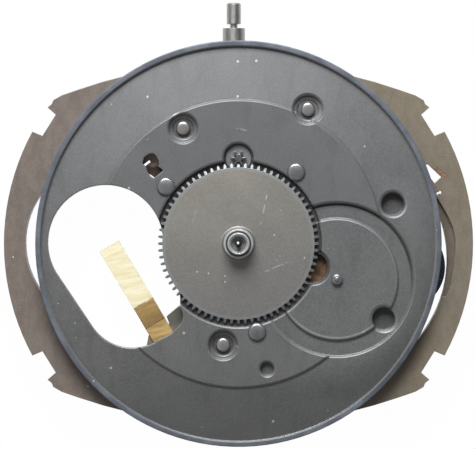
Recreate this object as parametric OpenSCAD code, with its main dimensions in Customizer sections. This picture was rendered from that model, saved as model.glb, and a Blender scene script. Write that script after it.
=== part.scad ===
// Battery watch movement, dial side up. The hands turn about the Z axis, the stem points along +Y,
// and Z = 0 is the top of the plate's rim, where the dial lies.

/* [Dial-side plate] */
// Radius of the round plate, which is half the casing diameter
plate_r = 12.95; // [12.8:0.05:13.2]
// Width of the raised rim
rim_w = 0.33; // [0.25:0.01:0.45]
// Height of the rim above the outer floor
rim_h = 0.30; // [0.2:0.01:0.4]
// Thickness of the plate under its outer floor
plate_t = 1.00; // [0.9:0.01:1.2]
// Radius of the raised plateau
plateau_r = 9.20; // [9.0:0.05:9.6]
// Height of the plateau above the outer floor
plateau_h = 0.12; // [0.06:0.01:0.16]
// Radius of the recess round the hour wheel
recess_r = 5.31; // [5.26:0.01:5.4]
// Depth of that recess under the outer floor
recess_d = 0.32; // [0.28:0.01:0.4]
// Radius of the small recess round the minute pinion
lobe_r = 0.96; // [0.9:0.01:1.1]
// Depth of that recess under the hour wheel's
lobe_d = 0.13; // [0.08:0.01:0.2]
// Place of the ring groove's centre across the plate
groove_x = 6.28; // [6.1:0.01:6.4]
// Place of the ring groove's centre along the plate
groove_y = -2.28; // [-2.4:0.01:-2.1]
// Outer radius of the ring groove
groove_r_out = 4.90; // [4.7:0.01:5.0]
// Inner radius of the ring groove
groove_r_in = 3.90; // [3.8:0.01:4.1]
// Depth of the ring groove under the outer floor
groove_d = 0.16; // [0.1:0.01:0.25]
// Radius of the round aperture over the third wheel
aperture_r = 0.95; // [0.8:0.01:1.0]
// Radius of the two holes for the dial's feet
foot_hole_r = 0.73; // [0.6:0.01:0.8]
// Depth of the two holes for the dial's feet
foot_hole_d = 0.85; // [0.6:0.01:0.88]
// Radius of the counterbores over the rivets
sink_r = 0.93; // [0.85:0.01:1.0]
// Depth of the counterbores over the rivets
sink_d = 0.45; // [0.3:0.01:0.6]
// Radius of the cell window in the plate
window_r = 3.68; // [3.5:0.01:3.8]

/* [Frame] */
// Radius of the frame's ears
flange_r = 15.00; // [14.8:0.05:15.3]
// Thickness of the frame's ears
flange_t = 1.00; // [0.8:0.05:1.4]
// Height of the frame under the plate
frame_t = 3.00; // [2.95:0.01:3.4]
// Radius of the frame's deep part
body_r = 12.55; // [12.45:0.01:12.7]
// Wall round the cell well and the open cavity
frame_wall = 0.70; // [0.6:0.01:0.9]
// Radius of the cell well
well_r = 5.20; // [5.1:0.01:5.25]
// Radius of the open cavity for the train and the circuit
cavity_r = 7.84; // [7.75:0.01:7.95]
// Width of the four notches in the ears
notch_w = 1.60; // [1.2:0.05:2.0]
// Depth of the four notches in the ears
notch_d = 0.72; // [0.5:0.02:0.9]
// Direction of each notch from the X axis
notch_a = 32; // [30:0.5:33]

/* [Hand seats] */
// Radius of the hour wheel's pipe
hour_pipe_r = 0.95; // [0.9:0.01:1.0]
// Height of the hour pipe over the dial seat
hour_pipe_h = 0.95; // [0.8:0.01:1.1]
// Radius of the cannon pinion's pipe
cannon_r = 0.74; // [0.7:0.01:0.78]
// Radius of the bore in the cannon pinion
cannon_bore_r = 0.465; // [0.44:0.005:0.5]
// Height of the cannon pinion over the dial seat
cannon_h = 1.55; // [1.4:0.01:1.7]
// Radius of the seconds arbor at its hand seat
seconds_r = 0.17; // [0.14:0.01:0.19]
// Height of the seconds arbor over the dial seat
seconds_h = 2.05; // [1.9:0.01:2.2]
// Radial gap between a turning pipe and what it turns in
run_gap = 0.03; // [0.02:0.005:0.04]

/* [Wheels] */
// Distance from the hands' axis to the minute pinion
minute_dist = 5.45; // [5.43:0.01:5.47]
// Teeth on the hour wheel
hour_teeth = 72; // [72:1:72]
// Leaves on the minute pinion
minute_leaves = 6; // [6:1:6]
// Thickness of the hour wheel
hour_t = 0.20; // [0.15:0.01:0.24]
// Teeth on the cannon's wheel and on the minute wheel
motion_teeth = 40; // [40:1:40]
// Thickness of the motion wheels
motion_t = 0.20; // [0.15:0.01:0.22]
// Distance from the hands' axis to the third wheel
third_dist = 3.06; // [3.04:0.01:3.08]
// Direction of the third wheel from the hands' axis
third_a = -40; // [-42:1:-38]
// Distance from the hands' axis to the intermediate wheel
mid_dist = 3.204; // [3.19:0.002:3.22]
// Direction of the intermediate wheel from the hands' axis
mid_a = -100; // [-102:1:-98]
// Distance from the intermediate wheel to the rotor
rotor_dist = 2.10; // [2.08:0.01:2.12]
// Thickness of the brass train wheels
wheel_t = 0.15; // [0.12:0.01:0.17]
// Radius of the thin pivots
pivot_r = 0.08; // [0.06:0.01:0.1]

/* [Motor and circuit] */
// Radius of the rotor's magnet
magnet_r = 0.70; // [0.6:0.01:0.74]
// Radius of the hole in the stator round the magnet
stator_bore_r = 0.85; // [0.8:0.01:0.95]
// Thickness of the stator
stator_t = 0.40; // [0.3:0.01:0.44]
// Radius of the coil's winding
coil_r = 0.90; // [0.7:0.01:0.92]
// Length of the coil's winding
coil_l = 5.20; // [4.8:0.1:5.3]
// Radius of the trimmer
trimmer_r = 2.80; // [2.6:0.05:2.85]
// Height of the trimmer
trimmer_h = 1.35; // [1.0:0.05:1.6]
// Radius of the quartz can
quartz_r = 0.75; // [0.7:0.01:0.85]
// Length of the quartz can
quartz_l = 6.00; // [5.0:0.1:6.2]
// Thickness of the circuit board
board_t = 0.20; // [0.15:0.01:0.3]
// Width of the brass contact spring for the cell
contact_w = 1.42; // [1.3:0.02:1.6]
// Thickness of the contact spring
contact_t = 0.12; // [0.1:0.01:0.15]

/* [Stem and setting] */
// Place of the stem across the movement
stem_x = -0.30; // [-0.35:0.01:-0.25]
// Radius of the stem's body and of its outer end
stem_r = 0.45; // [0.42:0.01:0.46]
// Radius of the neck behind the stem's outer end
neck_r = 0.24; // [0.2:0.01:0.28]
// Outer radius of the stem's bush
bush_r = 0.71; // [0.65:0.01:0.75]
// Distance from the hands' axis to the stem's outer end
stem_end_y = 15.42; // [15.3:0.02:15.6]
// How far the stem pulls out
pull = 0.60; // [0.5:0.01:0.6]
// How far the clutch shifts when the stem is pulled
shift = 0.25; // [0.2:0.01:0.27]
// Radius of the clutch
clutch_r = 0.85; // [0.8:0.01:0.87]

/* [Hidden] */
$fn = 96;
e = 0.01;
seat = 0.01;

z_ring = -rim_h;
z_plateau = z_ring + plateau_h;
z_recess = z_ring - recess_d;
z_lobe = z_recess - lobe_d;
z_groove = z_ring - groove_d;
z_island = z_ring;
z_under = z_ring - plate_t;
z_flange = z_under - flange_t;
z_back = z_under - frame_t;

bridge_t = 0.40;
bridge_sink = 0.15;
z_bridge = z_back + bridge_sink + bridge_t;
ledge_drop = 0.55;
z_ledge = z_bridge + 0.20;

cell_x = -8.48;
cell_y = 0.06;
cavity_x = 5.55;
cavity_y = -1.00;
aperture_x = 4.74;
aperture_y = -1.50;
aperture_bevel = 0.18;
foot_lead = 0.07;
foot_holes = [[9.85, 2.53], [9.27, -4.80]];
rivets = [[-3.53, 7.37], [4.43, 8.58], [-0.98, -6.45]];
guard_posts = [[-4.62, 3.65], [3.67, 4.57], [1.18, -5.62]];
pin_hole = [1.82, -7.98];
pin_hole_d = 0.50;
rivet_r = 0.41;
guard_r = 0.58;
shank_r = 0.30;

// Heights of the train, from the plate's underside down.
air = 0.12;
z_motion = z_under - air;
z_centre = z_motion - motion_t - 0.14;
z_cbridge = z_centre - wheel_t - 0.10;
cbridge_t = 0.18;
z_third = z_cbridge - cbridge_t - air;
z_seconds = z_third - wheel_t - air - 0.03;
z_stator = z_seconds - wheel_t - 0.03;
z_mid = z_stator - stator_t - 0.10;
mid_t = 0.12;

third_pos = third_dist*[cos(third_a), sin(third_a)];
mid_pos = mid_dist*[cos(mid_a), sin(mid_a)];
rotor_a = -46;
rotor_pos = mid_pos + rotor_dist*[cos(rotor_a), sin(rotor_a)];
minute_pos = [0, minute_dist];

// Tooth counts inside the train and the modules that follow from the centre distances.
seconds_teeth = 60;
seconds_leaves = 8;
third_teeth = 60;
third_leaves = 8;
centre_teeth = 64;
mid_teeth = 36;
mid_leaves = 12;
rotor_leaves = 6;
setting_teeth = 10;
m_hour = 2*minute_dist/(hour_teeth + minute_leaves);
m_motion = minute_dist/motion_teeth;
m_centre = 2*third_dist/(centre_teeth + third_leaves);
m_third = 2*third_dist/(third_teeth + seconds_leaves);
m_seconds = 2*mid_dist/(seconds_teeth + mid_leaves);
m_mid = 2*rotor_dist/(mid_teeth + rotor_leaves);

// Stem and setting work.
stem_z = z_under - 1.05;
setting_dist = m_motion*(motion_teeth + setting_teeth)/2;
setting_y = minute_dist + setting_dist;
setting_tip = m_motion*setting_teeth/2 + 0.80*m_motion;
clutch_l = 0.70;
clutch_collar = 0.26;
clutch_waist = 0.30;
finger_t = 0.20;
clutch_y = setting_y + setting_tip + shift + 0.06;
groove_stem_y = clutch_y + clutch_l + 0.12;
groove_stem_w = 0.35;
square = 0.50;
square_y = clutch_y - shift - pull - 0.25;
bush_in_y = body_r - 0.35;
bush_out_y = 13.80;
lever_pin_r = 0.14;
lever_arm = 2.20;
lever_x = stem_x - lever_arm;
lever_y = groove_stem_y + groove_stem_w/2 + pull/2;
lever_a = asin(pull/2/lever_arm);
z_lever = stem_z - clutch_r - 0.05;
lever_t = 0.20;
z_yoke = z_lever - lever_t - 0.05;
yoke_t = 0.18;
cam_arm = 1.60;
cam_pin_r = 0.15;

// Rotation that puts a gap of gear B on the line of centres where gear A has a tooth.
function mesh(dir, n_a, turn_a, n_b) = dir + 180 - (0.5 - (dir - turn_a)*n_a/360)*360/n_b;

// One tooth: root, flank at the pitch circle, rounded tip, and back down.
function tooth(a, n, rr, rp, ra, w) = let (h = 90/n*w)
    [for (p = [[rr, -1.15], [rp, -1], [(rp + ra)/2 + 0.1*(ra - rp), -0.72], [ra, -0.28],
               [ra, 0.28], [(rp + ra)/2 + 0.1*(ra - rp), 0.72], [rp, 1], [rr, 1.15]])
        p[0]*[cos(a + h*p[1]), sin(a + h*p[1])]];
function gear_points(n, m, add, ded, w) =
    [for (i = [0:n - 1]) each tooth(i*360/n, n, m*(n/2 - ded), m*n/2, m*(n/2 + add), w)];

module gear(n, m, t, add = 0.80, ded = 1.25, w = 0.86, turn = 0) {
    rotate(turn) translate([0, 0, -t]) linear_extrude(t)
        polygon(gear_points(n, m, add, ded, w));
}

module at(p, z = 0) translate([p[0], p[1], z]) children();

// A turned shaft: a list of [low z, high z, radius].
module shaft(steps) for (s = steps) translate([0, 0, s[0]]) cylinder(r = s[2], h = s[1] - s[0]);

module ring(r_out, r_in, z0, z1) translate([0, 0, z0]) difference() {
    cylinder(r = r_out, h = z1 - z0);
    translate([0, 0, -e]) cylinder(r = r_in, h = z1 - z0 + 2*e);
}

module hole(r, z0, z1) translate([0, 0, z0]) cylinder(r = r, h = z1 - z0);

// Outline of the cell window: two round ends, a small round corner and straight sides between.
window_b = [-6.78, -3.59];
window_b_r = 3.06;
window_c = [-4.33, -4.61];
window_c_r = 0.80;
module cell_window() {
    translate([cell_x, cell_y]) circle(window_r);
    translate(window_b) circle(window_b_r);
    translate(window_c) circle(window_c_r);
    polygon([[cell_x - 0.80*window_r, cell_y - 0.60*window_r], window_b + window_b_r*[-0.80, -0.60],
        window_b + window_b_r*[0.37, -0.93], [-4.27, -5.72], [-3.75, -5.16], [-3.53, -4.50],
        [-3.87, -4.03], [-4.07, -3.14], [-4.80, 0.04], [cell_x, cell_y]]);
}

// The small window beside the cell window: a square with a rounded step on its upper side.
module lug_window() {
    polygon([[-6.03, 5.49], [-5.70, 5.73], [-5.42, 5.75], [-5.26, 5.63], [-5.08, 5.28], [-5.04, 5.02],
        [-5.14, 4.96], [-4.80, 4.67], [-5.40, 4.17], [-5.63, 4.32], [-5.81, 4.59], [-5.90, 4.89],
        [-6.11, 5.12]]);
}

module dial_plate() {
    color([0.40, 0.41, 0.42]) difference() {
        union() {
            hole(plate_r, z_under, z_ring);
            ring(plate_r, plate_r - rim_w, z_ring, 0);
            hole(plateau_r, z_ring, z_plateau);
        }
        difference() {
            at([groove_x, groove_y]) hole(groove_r_out, z_groove, z_plateau + e);
            at([groove_x, groove_y]) hole(groove_r_in, z_groove - e, z_island);
        }
        hole(recess_r, z_recess, z_plateau + e);
        at(minute_pos) hole(lobe_r, z_lobe, z_plateau + e);
        at(minute_pos) hole(0.83 + seat, z_under - e, z_lobe + e);
        hole(cannon_r + 2*run_gap, z_under - e, z_recess + e);
        at([aperture_x, aperture_y]) hole(aperture_r, z_under - e, z_plateau);
        at([aperture_x, aperture_y]) translate([0, 0, z_recess - 0.1])
            cylinder(r1 = aperture_r, r2 = aperture_r + 0.25, h = 0.1 + e);
        at([aperture_x, aperture_y]) translate([0, 0, z_island - aperture_bevel])
            cylinder(r1 = aperture_r, r2 = aperture_r + aperture_bevel + e, h = aperture_bevel + e);
        for (p = foot_holes) at(p) {
            hole(foot_hole_r, z_ring - foot_hole_d, z_plateau + e);
            translate([0, 0, z_ring - foot_lead])
                cylinder(r1 = foot_hole_r, r2 = foot_hole_r + 0.10, h = 0.10);
        }
        for (p = rivets) at(p) {
            hole(sink_r, z_plateau - sink_d, 0);
            hole(0.66, z_plateau - sink_d - 0.14, 0);
            hole(rivet_r + seat, z_under - e, 0);
        }
        for (p = guard_posts) at(p) hole(shank_r + seat, z_under - e, 0);
        at([groove_x, groove_y]) hole(0.22 + seat, z_under - e, 0);
        at(pin_hole) hole(0.45, z_plateau - pin_hole_d, 0);
        translate([0, 0, z_under - e]) linear_extrude(plate_t + 1) {
            cell_window();
            lug_window();
        }
        for (p = [third_pos, mid_pos, rotor_pos]) at(p) hole(0.40 + seat, z_under - e, z_under + 0.35);
        at([stem_x, setting_y]) hole(0.20 + seat, z_under - e, z_under + 0.5);
    }
}

// Half of a shoulder of the frame's ears: round ear, short chamfer, and a nearly straight side.
notch_flare = 0.28;
module ear_outline() {
    intersection() {
        circle(flange_r);
        polygon([for (s = [[1, 1], [-1, 1], [-1, -1], [1, -1]])
            each (s[0]*s[1] > 0 ? ear_side(s) : [for (i = [len(ear_points) - 1:-1:0]) ear_side(s)[i]])]);
    }
}
ear_points = [[16, 0], [16, 7], [12.24, 8.68], [11.94, 8.92], [11.84, 9.17], [11.30, 9.48],
    [10.29, 9.83], [8.70, 10.34], [7.40, 10.68]];
function ear_side(s) = [for (p = ear_points) flange_r/15*[s[0]*p[0], s[1]*p[1]]];

module frame_outline() {
    difference() {
        union() {
            ear_outline();
            circle(body_r);
        }
        for (a = [notch_a, 180 - notch_a, 180 + notch_a, -notch_a])
            rotate(a) polygon([[flange_r - notch_d, -notch_w/2], [flange_r + 1, -notch_w/2 - notch_flare],
                [flange_r + 1, notch_w/2 + notch_flare], [flange_r - notch_d, notch_w/2]]);
    }
}

// Room for the setting work, inside the frame's outer wall.
keyless_room = [[-5.0, 8.25], [3.0, 8.25], [3.0, 11.9], [-3.2, 11.9], [-5.0, 10.6]];
keyless_lid = [[-5.9, 8.05], [3.3, 8.05], [3.75, 9.15], [4.95, 9.35], [5.1, 9.9], [4.6, 10.9],
    [2.4, 11.85], [-3.6, 11.6], [-6.2, 10.2]];
bridge_edge = [[-2.70, -5.9], [-2.2, -6.25], [-1.4, -5.75], [1.0, -5.75], [2.1, -5.3], [2.6, -4.0],
    [4.15, -3.4], [4.15, 4.9], [4.6, 6.4], [4.2, 7.9], [2.1, 7.8], [-0.9, 6.6], [-2.70, 6.0]];
bridge_screw_pos = [[-1.95, 5.30], [3.45, 7.05], [-2.05, -5.45]];
keyless_screw_pos = [[-5.35, 9.45], [4.30, 10.00]];
contact_seat = [[-5.75, -5.87], [-4.42, -5.13], [-4.60, -4.66], [-3.83, -4.02], [-2.0, -4.6],
    [-2.0, -8.2], [-6.2, -8.2]];
motor_screw_pos = [[1.95, -7.00], [9.15, -7.00]];
keyless_ceiling = z_under;

module frame() {
    color([0.45, 0.40, 0.36]) difference() {
        union() {
            translate([0, 0, z_flange]) linear_extrude(flange_t) frame_outline();
            translate([0, 0, z_back]) linear_extrude(frame_t) intersection() {
                frame_outline();
                union() {
                    circle(body_r);
                    translate([cell_x, cell_y]) circle(well_r + frame_wall);
                    translate([cavity_x, cavity_y]) circle(cavity_r + frame_wall);
                }
            }
        }
        difference() {
            translate([0, 0, z_back - e]) linear_extrude(frame_t + 2*e) {
                translate([cell_x, cell_y]) circle(well_r);
                translate(window_b) circle(window_b_r + 0.3);
                translate([cavity_x, cavity_y]) circle(cavity_r);
                circle(motion_room_r);
            }
            translate([0, 0, z_back]) linear_extrude(frame_t - contact_t - 0.02) difference() {
                polygon(contact_seat);
                circle(motion_room_r);
                translate([cavity_x, cavity_y]) circle(cavity_r);
            }
            for (p = motor_screw_pos) at(p) lug();
            aperture_web();
        }
        wing_step();
        translate([0, 0, z_under - contact_t - 0.02]) linear_extrude(1) polygon(contact_seat);
        at(mid_pos) hole(m_mid*(mid_teeth/2 + 0.8) + 0.15, z_back - e, z_mid + 0.10);
        translate([0, 0, z_bridge - e]) linear_extrude(z_cbridge - z_bridge + e)
            polygon(grown(centre_bridge_edge, lid_gap));
        at(centre_bridge_screw) hole(0.20 + seat, z_cbridge - 1, z_cbridge + 0.5);
        at(minute_pos) hole(motion_room_r, z_motion - motion_t - 0.2, z_under + e);
        at([stem_x, setting_y]) hole(setting_tip + 0.15, z_motion - motion_t - 0.15, z_under + e);
        at(minute_pos) hole(0.12 + 0.02, z_motion - motion_t - 0.6, z_under);
        translate([0, 0, z_bridge - e]) linear_extrude(z_under - z_bridge + 2*e)
            intersection() {
                polygon(keyless_room);
                circle(body_r - 0.5);
            }
        translate([0, 0, z_back - e]) linear_extrude(z_bridge - z_back + e) {
            polygon(grown(keyless_lid, lid_gap));
            polygon(grown(bridge_edge, lid_gap));
        }
        at([cavity_x, cavity_y]) hole(cavity_r + 0.36, z_back - e, z_ledge);
        translate([stem_x, 0, stem_z]) rotate([-90, 0, 0]) {
            translate([0, 0, square_y - pull - 1.0]) cylinder(r = 0.18 + 0.02, h = 5);
            translate([0, 0, 11]) cylinder(r = stem_r + 0.04, h = 3);
            translate([0, 0, bush_in_y]) cylinder(r = bush_r - 0.1, h = 3);
        }
        for (p = rivets) at(p) hole(rivet_r + seat, z_back - e, z_under + e);
        for (p = bridge_screw_pos) at(p) hole(0.25 + seat, z_bridge - e, z_bridge + 1.4);
        for (p = keyless_screw_pos) at(p) hole(0.25 + seat, z_bridge - e, z_bridge + 1.4);
        for (p = motor_screw_pos) at(p) hole(0.25 + seat, z_stator - 3, z_core + 0.8);
        at(contact_screw_pos) hole(0.25 + seat, z_under - 1.5, z_under + e);
        lead_cut();
        translate([-5.865, 5.15, z_back - e]) rotate(38) translate([-0.24, -0.10, 0])
            cube([0.48, 0.20, frame_t + 1]);
    }
}
centre_bridge_edge = [[-0.9, -0.6], [0.9, 0.3], [-0.5, 4.3], [-2.35, 3.9], [-2.3, 2.6]];
centre_bridge_screw = [-1.55, 3.55];
motion_room_r = m_motion*(motion_teeth/2 + 0.80) + 0.17;
z_core = z_stator + stator_t;
contact_screw_pos = [-4.45, -6.75];

lug_r = 0.60;
module lug() {
    hole(lug_r, z_core, z_under + 1);
    translate([-lug_r, -2.2, z_core]) cube([2*lug_r, 2.2, 3]);
}

// A thin web of the frame runs under the plate's round aperture to the cavity's lower wall.
web_t = 0.25;
web_w = 2.50;
module aperture_web() {
    translate([aperture_x - web_w/2, -9.2, z_under - web_t]) cube([web_w, 9.2 + aperture_y + web_w/2, 2]);
}

// The right ear has a low step along the open cavity, outside the plate's edge.
step_d = 0.35;
module wing_step() {
    translate([0, 0, z_under - step_d]) linear_extrude(step_d + e) difference() {
        polygon([[12.1, 3.6], [12.75, 2.87], [13.34, 1.87], [13.71, 1.06], [13.86, 0.32], [13.87, -0.40],
            [13.75, -1.49], [13.55, -2.68], [13.25, -3.4], [12.0, -3.4]]);
        circle(plate_r - 0.35);
    }
}

// A lid's recess is the lid's outline with every side moved out by a small gap.
lid_gap = 0.06;
function side_normal(a, b) = [b[1] - a[1], a[0] - b[0]]/norm(b - a);
function moved_corner(p, n1, n2, d) = p + d*(n1 + n2)/(1 + n1*n2);
function grown(points, d) = let (n = len(points)) [for (i = [0:n - 1])
    moved_corner(points[i], side_normal(points[(i + n - 1)%n], points[i]),
        side_normal(points[i], points[(i + 1)%n]), d)];

// The three-cornered hole and the slit for the copper lead in the right wing.
module lead_cut() {
    translate([0, 0, z_back]) linear_extrude(frame_t + 1)
        polygon([[11.6, 5.06], [12.15, 5.06], [12.99, 4.26], [12.55, 3.85]]);
    translate([12.84, 3.24, z_back]) rotate(25) for (x = [-0.08, 0.08])
        translate([x, 0, 0]) cylinder(r = 0.10, h = frame_t + 1);
    translate([0, 0, e]) along_lead(0.15 + 2*seat, lead_t + e);
}

module plate_rivets() {
    color([0.62, 0.60, 0.57]) for (p = rivets) at(p) {
        shaft([[z_back + 0.1, z_plateau - sink_d + 0.16, rivet_r]]);
        translate([0, 0, z_plateau - sink_d + 0.16]) cylinder(r1 = rivet_r, r2 = rivet_r - 0.1, h = 0.08);
    }
}

module wheel_guard_posts() {
    color([0.52, 0.52, 0.53]) for (p = guard_posts) at(p) {
        shaft([[z_under + 0.02, z_plateau, shank_r]]);
        translate([0, 0, z_plateau]) cylinder(r = guard_r, h = 0.20);
        translate([0, 0, z_plateau + 0.20]) cylinder(r1 = guard_r, r2 = guard_r - 0.13, h = 0.09);
    }
}

module groove_post() {
    color([0.55, 0.55, 0.56]) at([groove_x, groove_y]) {
        shaft([[z_under + 0.02, z_island, 0.22], [z_island, z_island + 0.26, 0.36]]);
        translate([0, 0, z_island + 0.26]) cylinder(r1 = 0.36, r2 = 0.17, h = 0.12);
        hole(0.13, z_island + 0.37, z_island + 0.44);
    }
}

module minute_bush() {
    color([0.66, 0.66, 0.66]) at(minute_pos) ring(0.83, 0.26 + 0.02, z_under, z_lobe + 0.05);
}

z_hour_top = z_recess + 0.15 + hour_t;
hour_turn = 90;
hub_fillet = 0.20;
pipe_bevel = 0.06;
tooth_bevel = 0.28;
tooth_drop = 0.12;
module hour_wheel() {
    color([0.56, 0.55, 0.51]) difference() {
        union() {
            intersection() {
                translate([0, 0, z_hour_top])
                    gear(hour_teeth, m_hour, hour_t, w = 0.80, turn = hour_turn);
                bevelled_blank();
            }
            hole(1.50, z_recess + 0.03, z_hour_top - hour_t + e);
            hole(hour_pipe_r, z_hour_top - e, hour_pipe_h - pipe_bevel);
            translate([0, 0, hour_pipe_h - pipe_bevel])
                cylinder(r1 = hour_pipe_r, r2 = hour_pipe_r - pipe_bevel, h = pipe_bevel);
            translate([0, 0, z_hour_top - e]) rotate_extrude() difference() {
                square([hour_pipe_r + hub_fillet, hub_fillet]);
                translate([hour_pipe_r + hub_fillet, hub_fillet + e]) circle(hub_fillet, $fn = 48);
            }
        }
        hole(cannon_r + run_gap, z_recess - e, hour_pipe_h + e);
    }
}

// The wheel's blank thins towards the tips of its teeth.
module bevelled_blank() {
    r_tip = m_hour*(hour_teeth/2 + 0.80);
    translate([0, 0, z_hour_top - hour_t - e]) rotate_extrude()
        polygon([[0, 0], [r_tip + e, 0], [r_tip + e, hour_t - tooth_drop],
            [r_tip - tooth_bevel, hour_t + e], [0, hour_t + e]]);
}

cannon_wheel_turn = 0;
waist = 0.16;
z_waist = hour_pipe_h - 0.52;
module cannon_pinion() {
    color([0.60, 0.60, 0.58]) difference() {
        union() {
            translate([0, 0, z_motion]) gear(motion_teeth, m_motion, motion_t, w = 0.80,
                turn = cannon_wheel_turn);
            shaft([[z_centre - wheel_t - 0.04, z_waist, cannon_r],
                [z_waist - e, hour_pipe_h + 0.02 + e, cannon_r - waist],
                [hour_pipe_h + 0.02, cannon_h - 0.10, cannon_r]]);
            translate([0, 0, cannon_h - 0.10]) cylinder(r1 = cannon_r, r2 = cannon_r - 0.08, h = 0.10);
        }
        hole(cannon_bore_r, z_centre - 1, cannon_h + e);
        translate([0, 0, cannon_h - 0.16]) cylinder(r1 = cannon_bore_r, r2 = cannon_r - 0.12, h = 0.16 + e);
    }
}

// A spoked wheel: rim with teeth, four arms and a hub.
module spoked(n, m, t, r_hub, bore, turn = 0, w = 0.80) {
    r_in = m*(n/2 - 1.25) - 0.22;
    difference() {
        gear(n, m, t, w = w, turn = turn);
        for (a = [45:90:315]) rotate(a) translate([0, 0, -t - e]) linear_extrude(t + 2*e)
            intersection() {
                difference() {
                    circle(r_in);
                    circle(r_hub);
                }
                translate([0, 0]) rotate(-45) translate([0.13, 0.13]) square(10);
            }
        translate([0, 0, -t - e]) cylinder(r = bore, h = t + 2*e);
    }
}

module centre_wheel() {
    color([0.80, 0.66, 0.36]) translate([0, 0, z_centre])
        spoked(centre_teeth, m_centre, wheel_t, 1.15, cannon_r + 0.02, turn = 0);
}

minute_wheel_turn = mesh(90, motion_teeth, cannon_wheel_turn, motion_teeth);
module minute_wheel() {
    color([0.80, 0.66, 0.36]) at(minute_pos, z_motion)
        spoked(motion_teeth, m_motion, motion_t, 0.60, 0.26, turn = minute_wheel_turn);
}

minute_pinion_turn = mesh(90, hour_teeth, hour_turn, minute_leaves);
module minute_pinion() {
    color([0.66, 0.66, 0.66]) at(minute_pos) {
        translate([0, 0, z_hour_top + 0.05])
            gear(minute_leaves, m_hour, z_hour_top - z_lobe - 0.03, add = 0.55, ded = 1.15, w = 0.66,
                turn = minute_pinion_turn);
        shaft([[z_motion - motion_t - 0.02, z_lobe + 0.10, 0.26],
            [z_motion - motion_t - 0.55, z_motion - motion_t, 0.12]]);
    }
}

module centre_tube() {
    color([0.62, 0.62, 0.60]) difference() {
        ring(cannon_bore_r - run_gap, seconds_r + run_gap, z_cbridge - cbridge_t, cannon_h - 0.26);
        translate([0, 0, cannon_h - 0.46])
            cylinder(r1 = seconds_r + run_gap, r2 = seconds_r + run_gap + 0.20, h = 0.20 + e);
    }
}

module centre_bridge() {
    color([0.72, 0.62, 0.40]) difference() {
        translate([0, 0, z_cbridge - cbridge_t]) linear_extrude(cbridge_t) {
            circle(1.05);
            polygon(centre_bridge_edge);
        }
        at(centre_bridge_screw) hole(0.20 + seat, z_cbridge - 1, z_cbridge + 1);
        hole(cannon_bore_r - run_gap + seat, z_cbridge - 1, z_cbridge + 1);
    }
}

module seconds_wheel() {
    color([0.80, 0.66, 0.36]) translate([0, 0, z_seconds])
        spoked(seconds_teeth, m_seconds, wheel_t, 0.60, 0.28);
}

arbor_r = seconds_r - 0.015;
z_seat = cannon_h + 0.02;
module seconds_arbor() {
    color([0.70, 0.70, 0.70]) {
        translate([0, 0, z_third + 0.06])
            gear(seconds_leaves, m_third, 0.28, add = 0.6, ded = 1.15, w = 0.70, turn = seconds_turn);
        shaft([[z_seconds - wheel_t - 0.10, z_third - 0.10, 0.28],
            [z_seconds - wheel_t - 0.3, hour_pipe_h, arbor_r],
            [z_seat, seconds_h - 0.06, seconds_r],
            [z_bridge - bridge_t + 0.10, z_seconds, 0.12]]);
        translate([0, 0, hour_pipe_h - e])
            cylinder(r1 = arbor_r, r2 = seconds_r, h = z_seat - hour_pipe_h + 2*e);
        translate([0, 0, seconds_h - 0.06]) cylinder(r1 = seconds_r, r2 = seconds_r - 0.06, h = 0.06);
    }
}
third_turn = 0;
seconds_turn = mesh(third_a + 180, third_teeth, third_turn, seconds_leaves);
third_pinion_turn = mesh(third_a, centre_teeth, 0, third_leaves);

module third_wheel() {
    color([0.80, 0.66, 0.36]) at(third_pos, z_third)
        spoked(third_teeth, m_third, wheel_t, 0.60, 0.20, turn = third_turn);
}

module third_pinion() {
    color([0.70, 0.70, 0.70]) at(third_pos) {
        translate([0, 0, z_centre + 0.06])
            gear(third_leaves, m_centre, 0.28, add = 0.6, ded = 1.15, w = 0.70, turn = third_pinion_turn);
        shaft([[z_third - wheel_t - 0.10, z_centre - 0.10, 0.20],
            [z_bridge, z_under - 0.06, 0.14],
            [z_bridge - bridge_t + 0.10, z_under + 0.28, pivot_r]]);
    }
}

mid_wheel_turn = 0;
mid_pinion_turn = mesh(mid_a, seconds_teeth, 0, mid_leaves);
module intermediate_wheel() {
    color([0.80, 0.66, 0.36]) at(mid_pos, z_mid)
        spoked(mid_teeth, m_mid, mid_t, 0.50, 0.20, turn = mid_wheel_turn);
}

module intermediate_pinion() {
    color([0.70, 0.70, 0.70]) at(mid_pos) {
        translate([0, 0, z_seconds + 0.06])
            gear(mid_leaves, m_seconds, 0.28, add = 0.6, ded = 1.15, w = 0.70, turn = mid_pinion_turn);
        shaft([[z_mid - mid_t - 0.06, z_seconds - 0.10, 0.20],
            [z_bridge + 0.06, z_under - 0.06, 0.14],
            [z_bridge - bridge_t + 0.10, z_under + 0.28, pivot_r]]);
    }
}

rotor_turn = mesh(rotor_a, mid_teeth, mid_wheel_turn, rotor_leaves);
module rotor_magnet() {
    color([0.30, 0.30, 0.32]) at(rotor_pos) ring(magnet_r, 0.22, z_stator - stator_t - 0.02,
        z_stator + 0.08);
}

module rotor_pinion() {
    color([0.70, 0.70, 0.70]) at(rotor_pos) {
        translate([0, 0, z_mid + 0.05])
            gear(rotor_leaves, m_mid, 0.24, add = 0.55, ded = 1.15, w = 0.66, turn = rotor_turn);
        shaft([[z_stator - stator_t - 0.02, z_stator + 0.08, 0.22],
            [z_bridge + 0.06, z_under - 0.06, 0.14],
            [z_bridge - bridge_t + 0.10, z_under + 0.28, pivot_r]]);
    }
}

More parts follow.
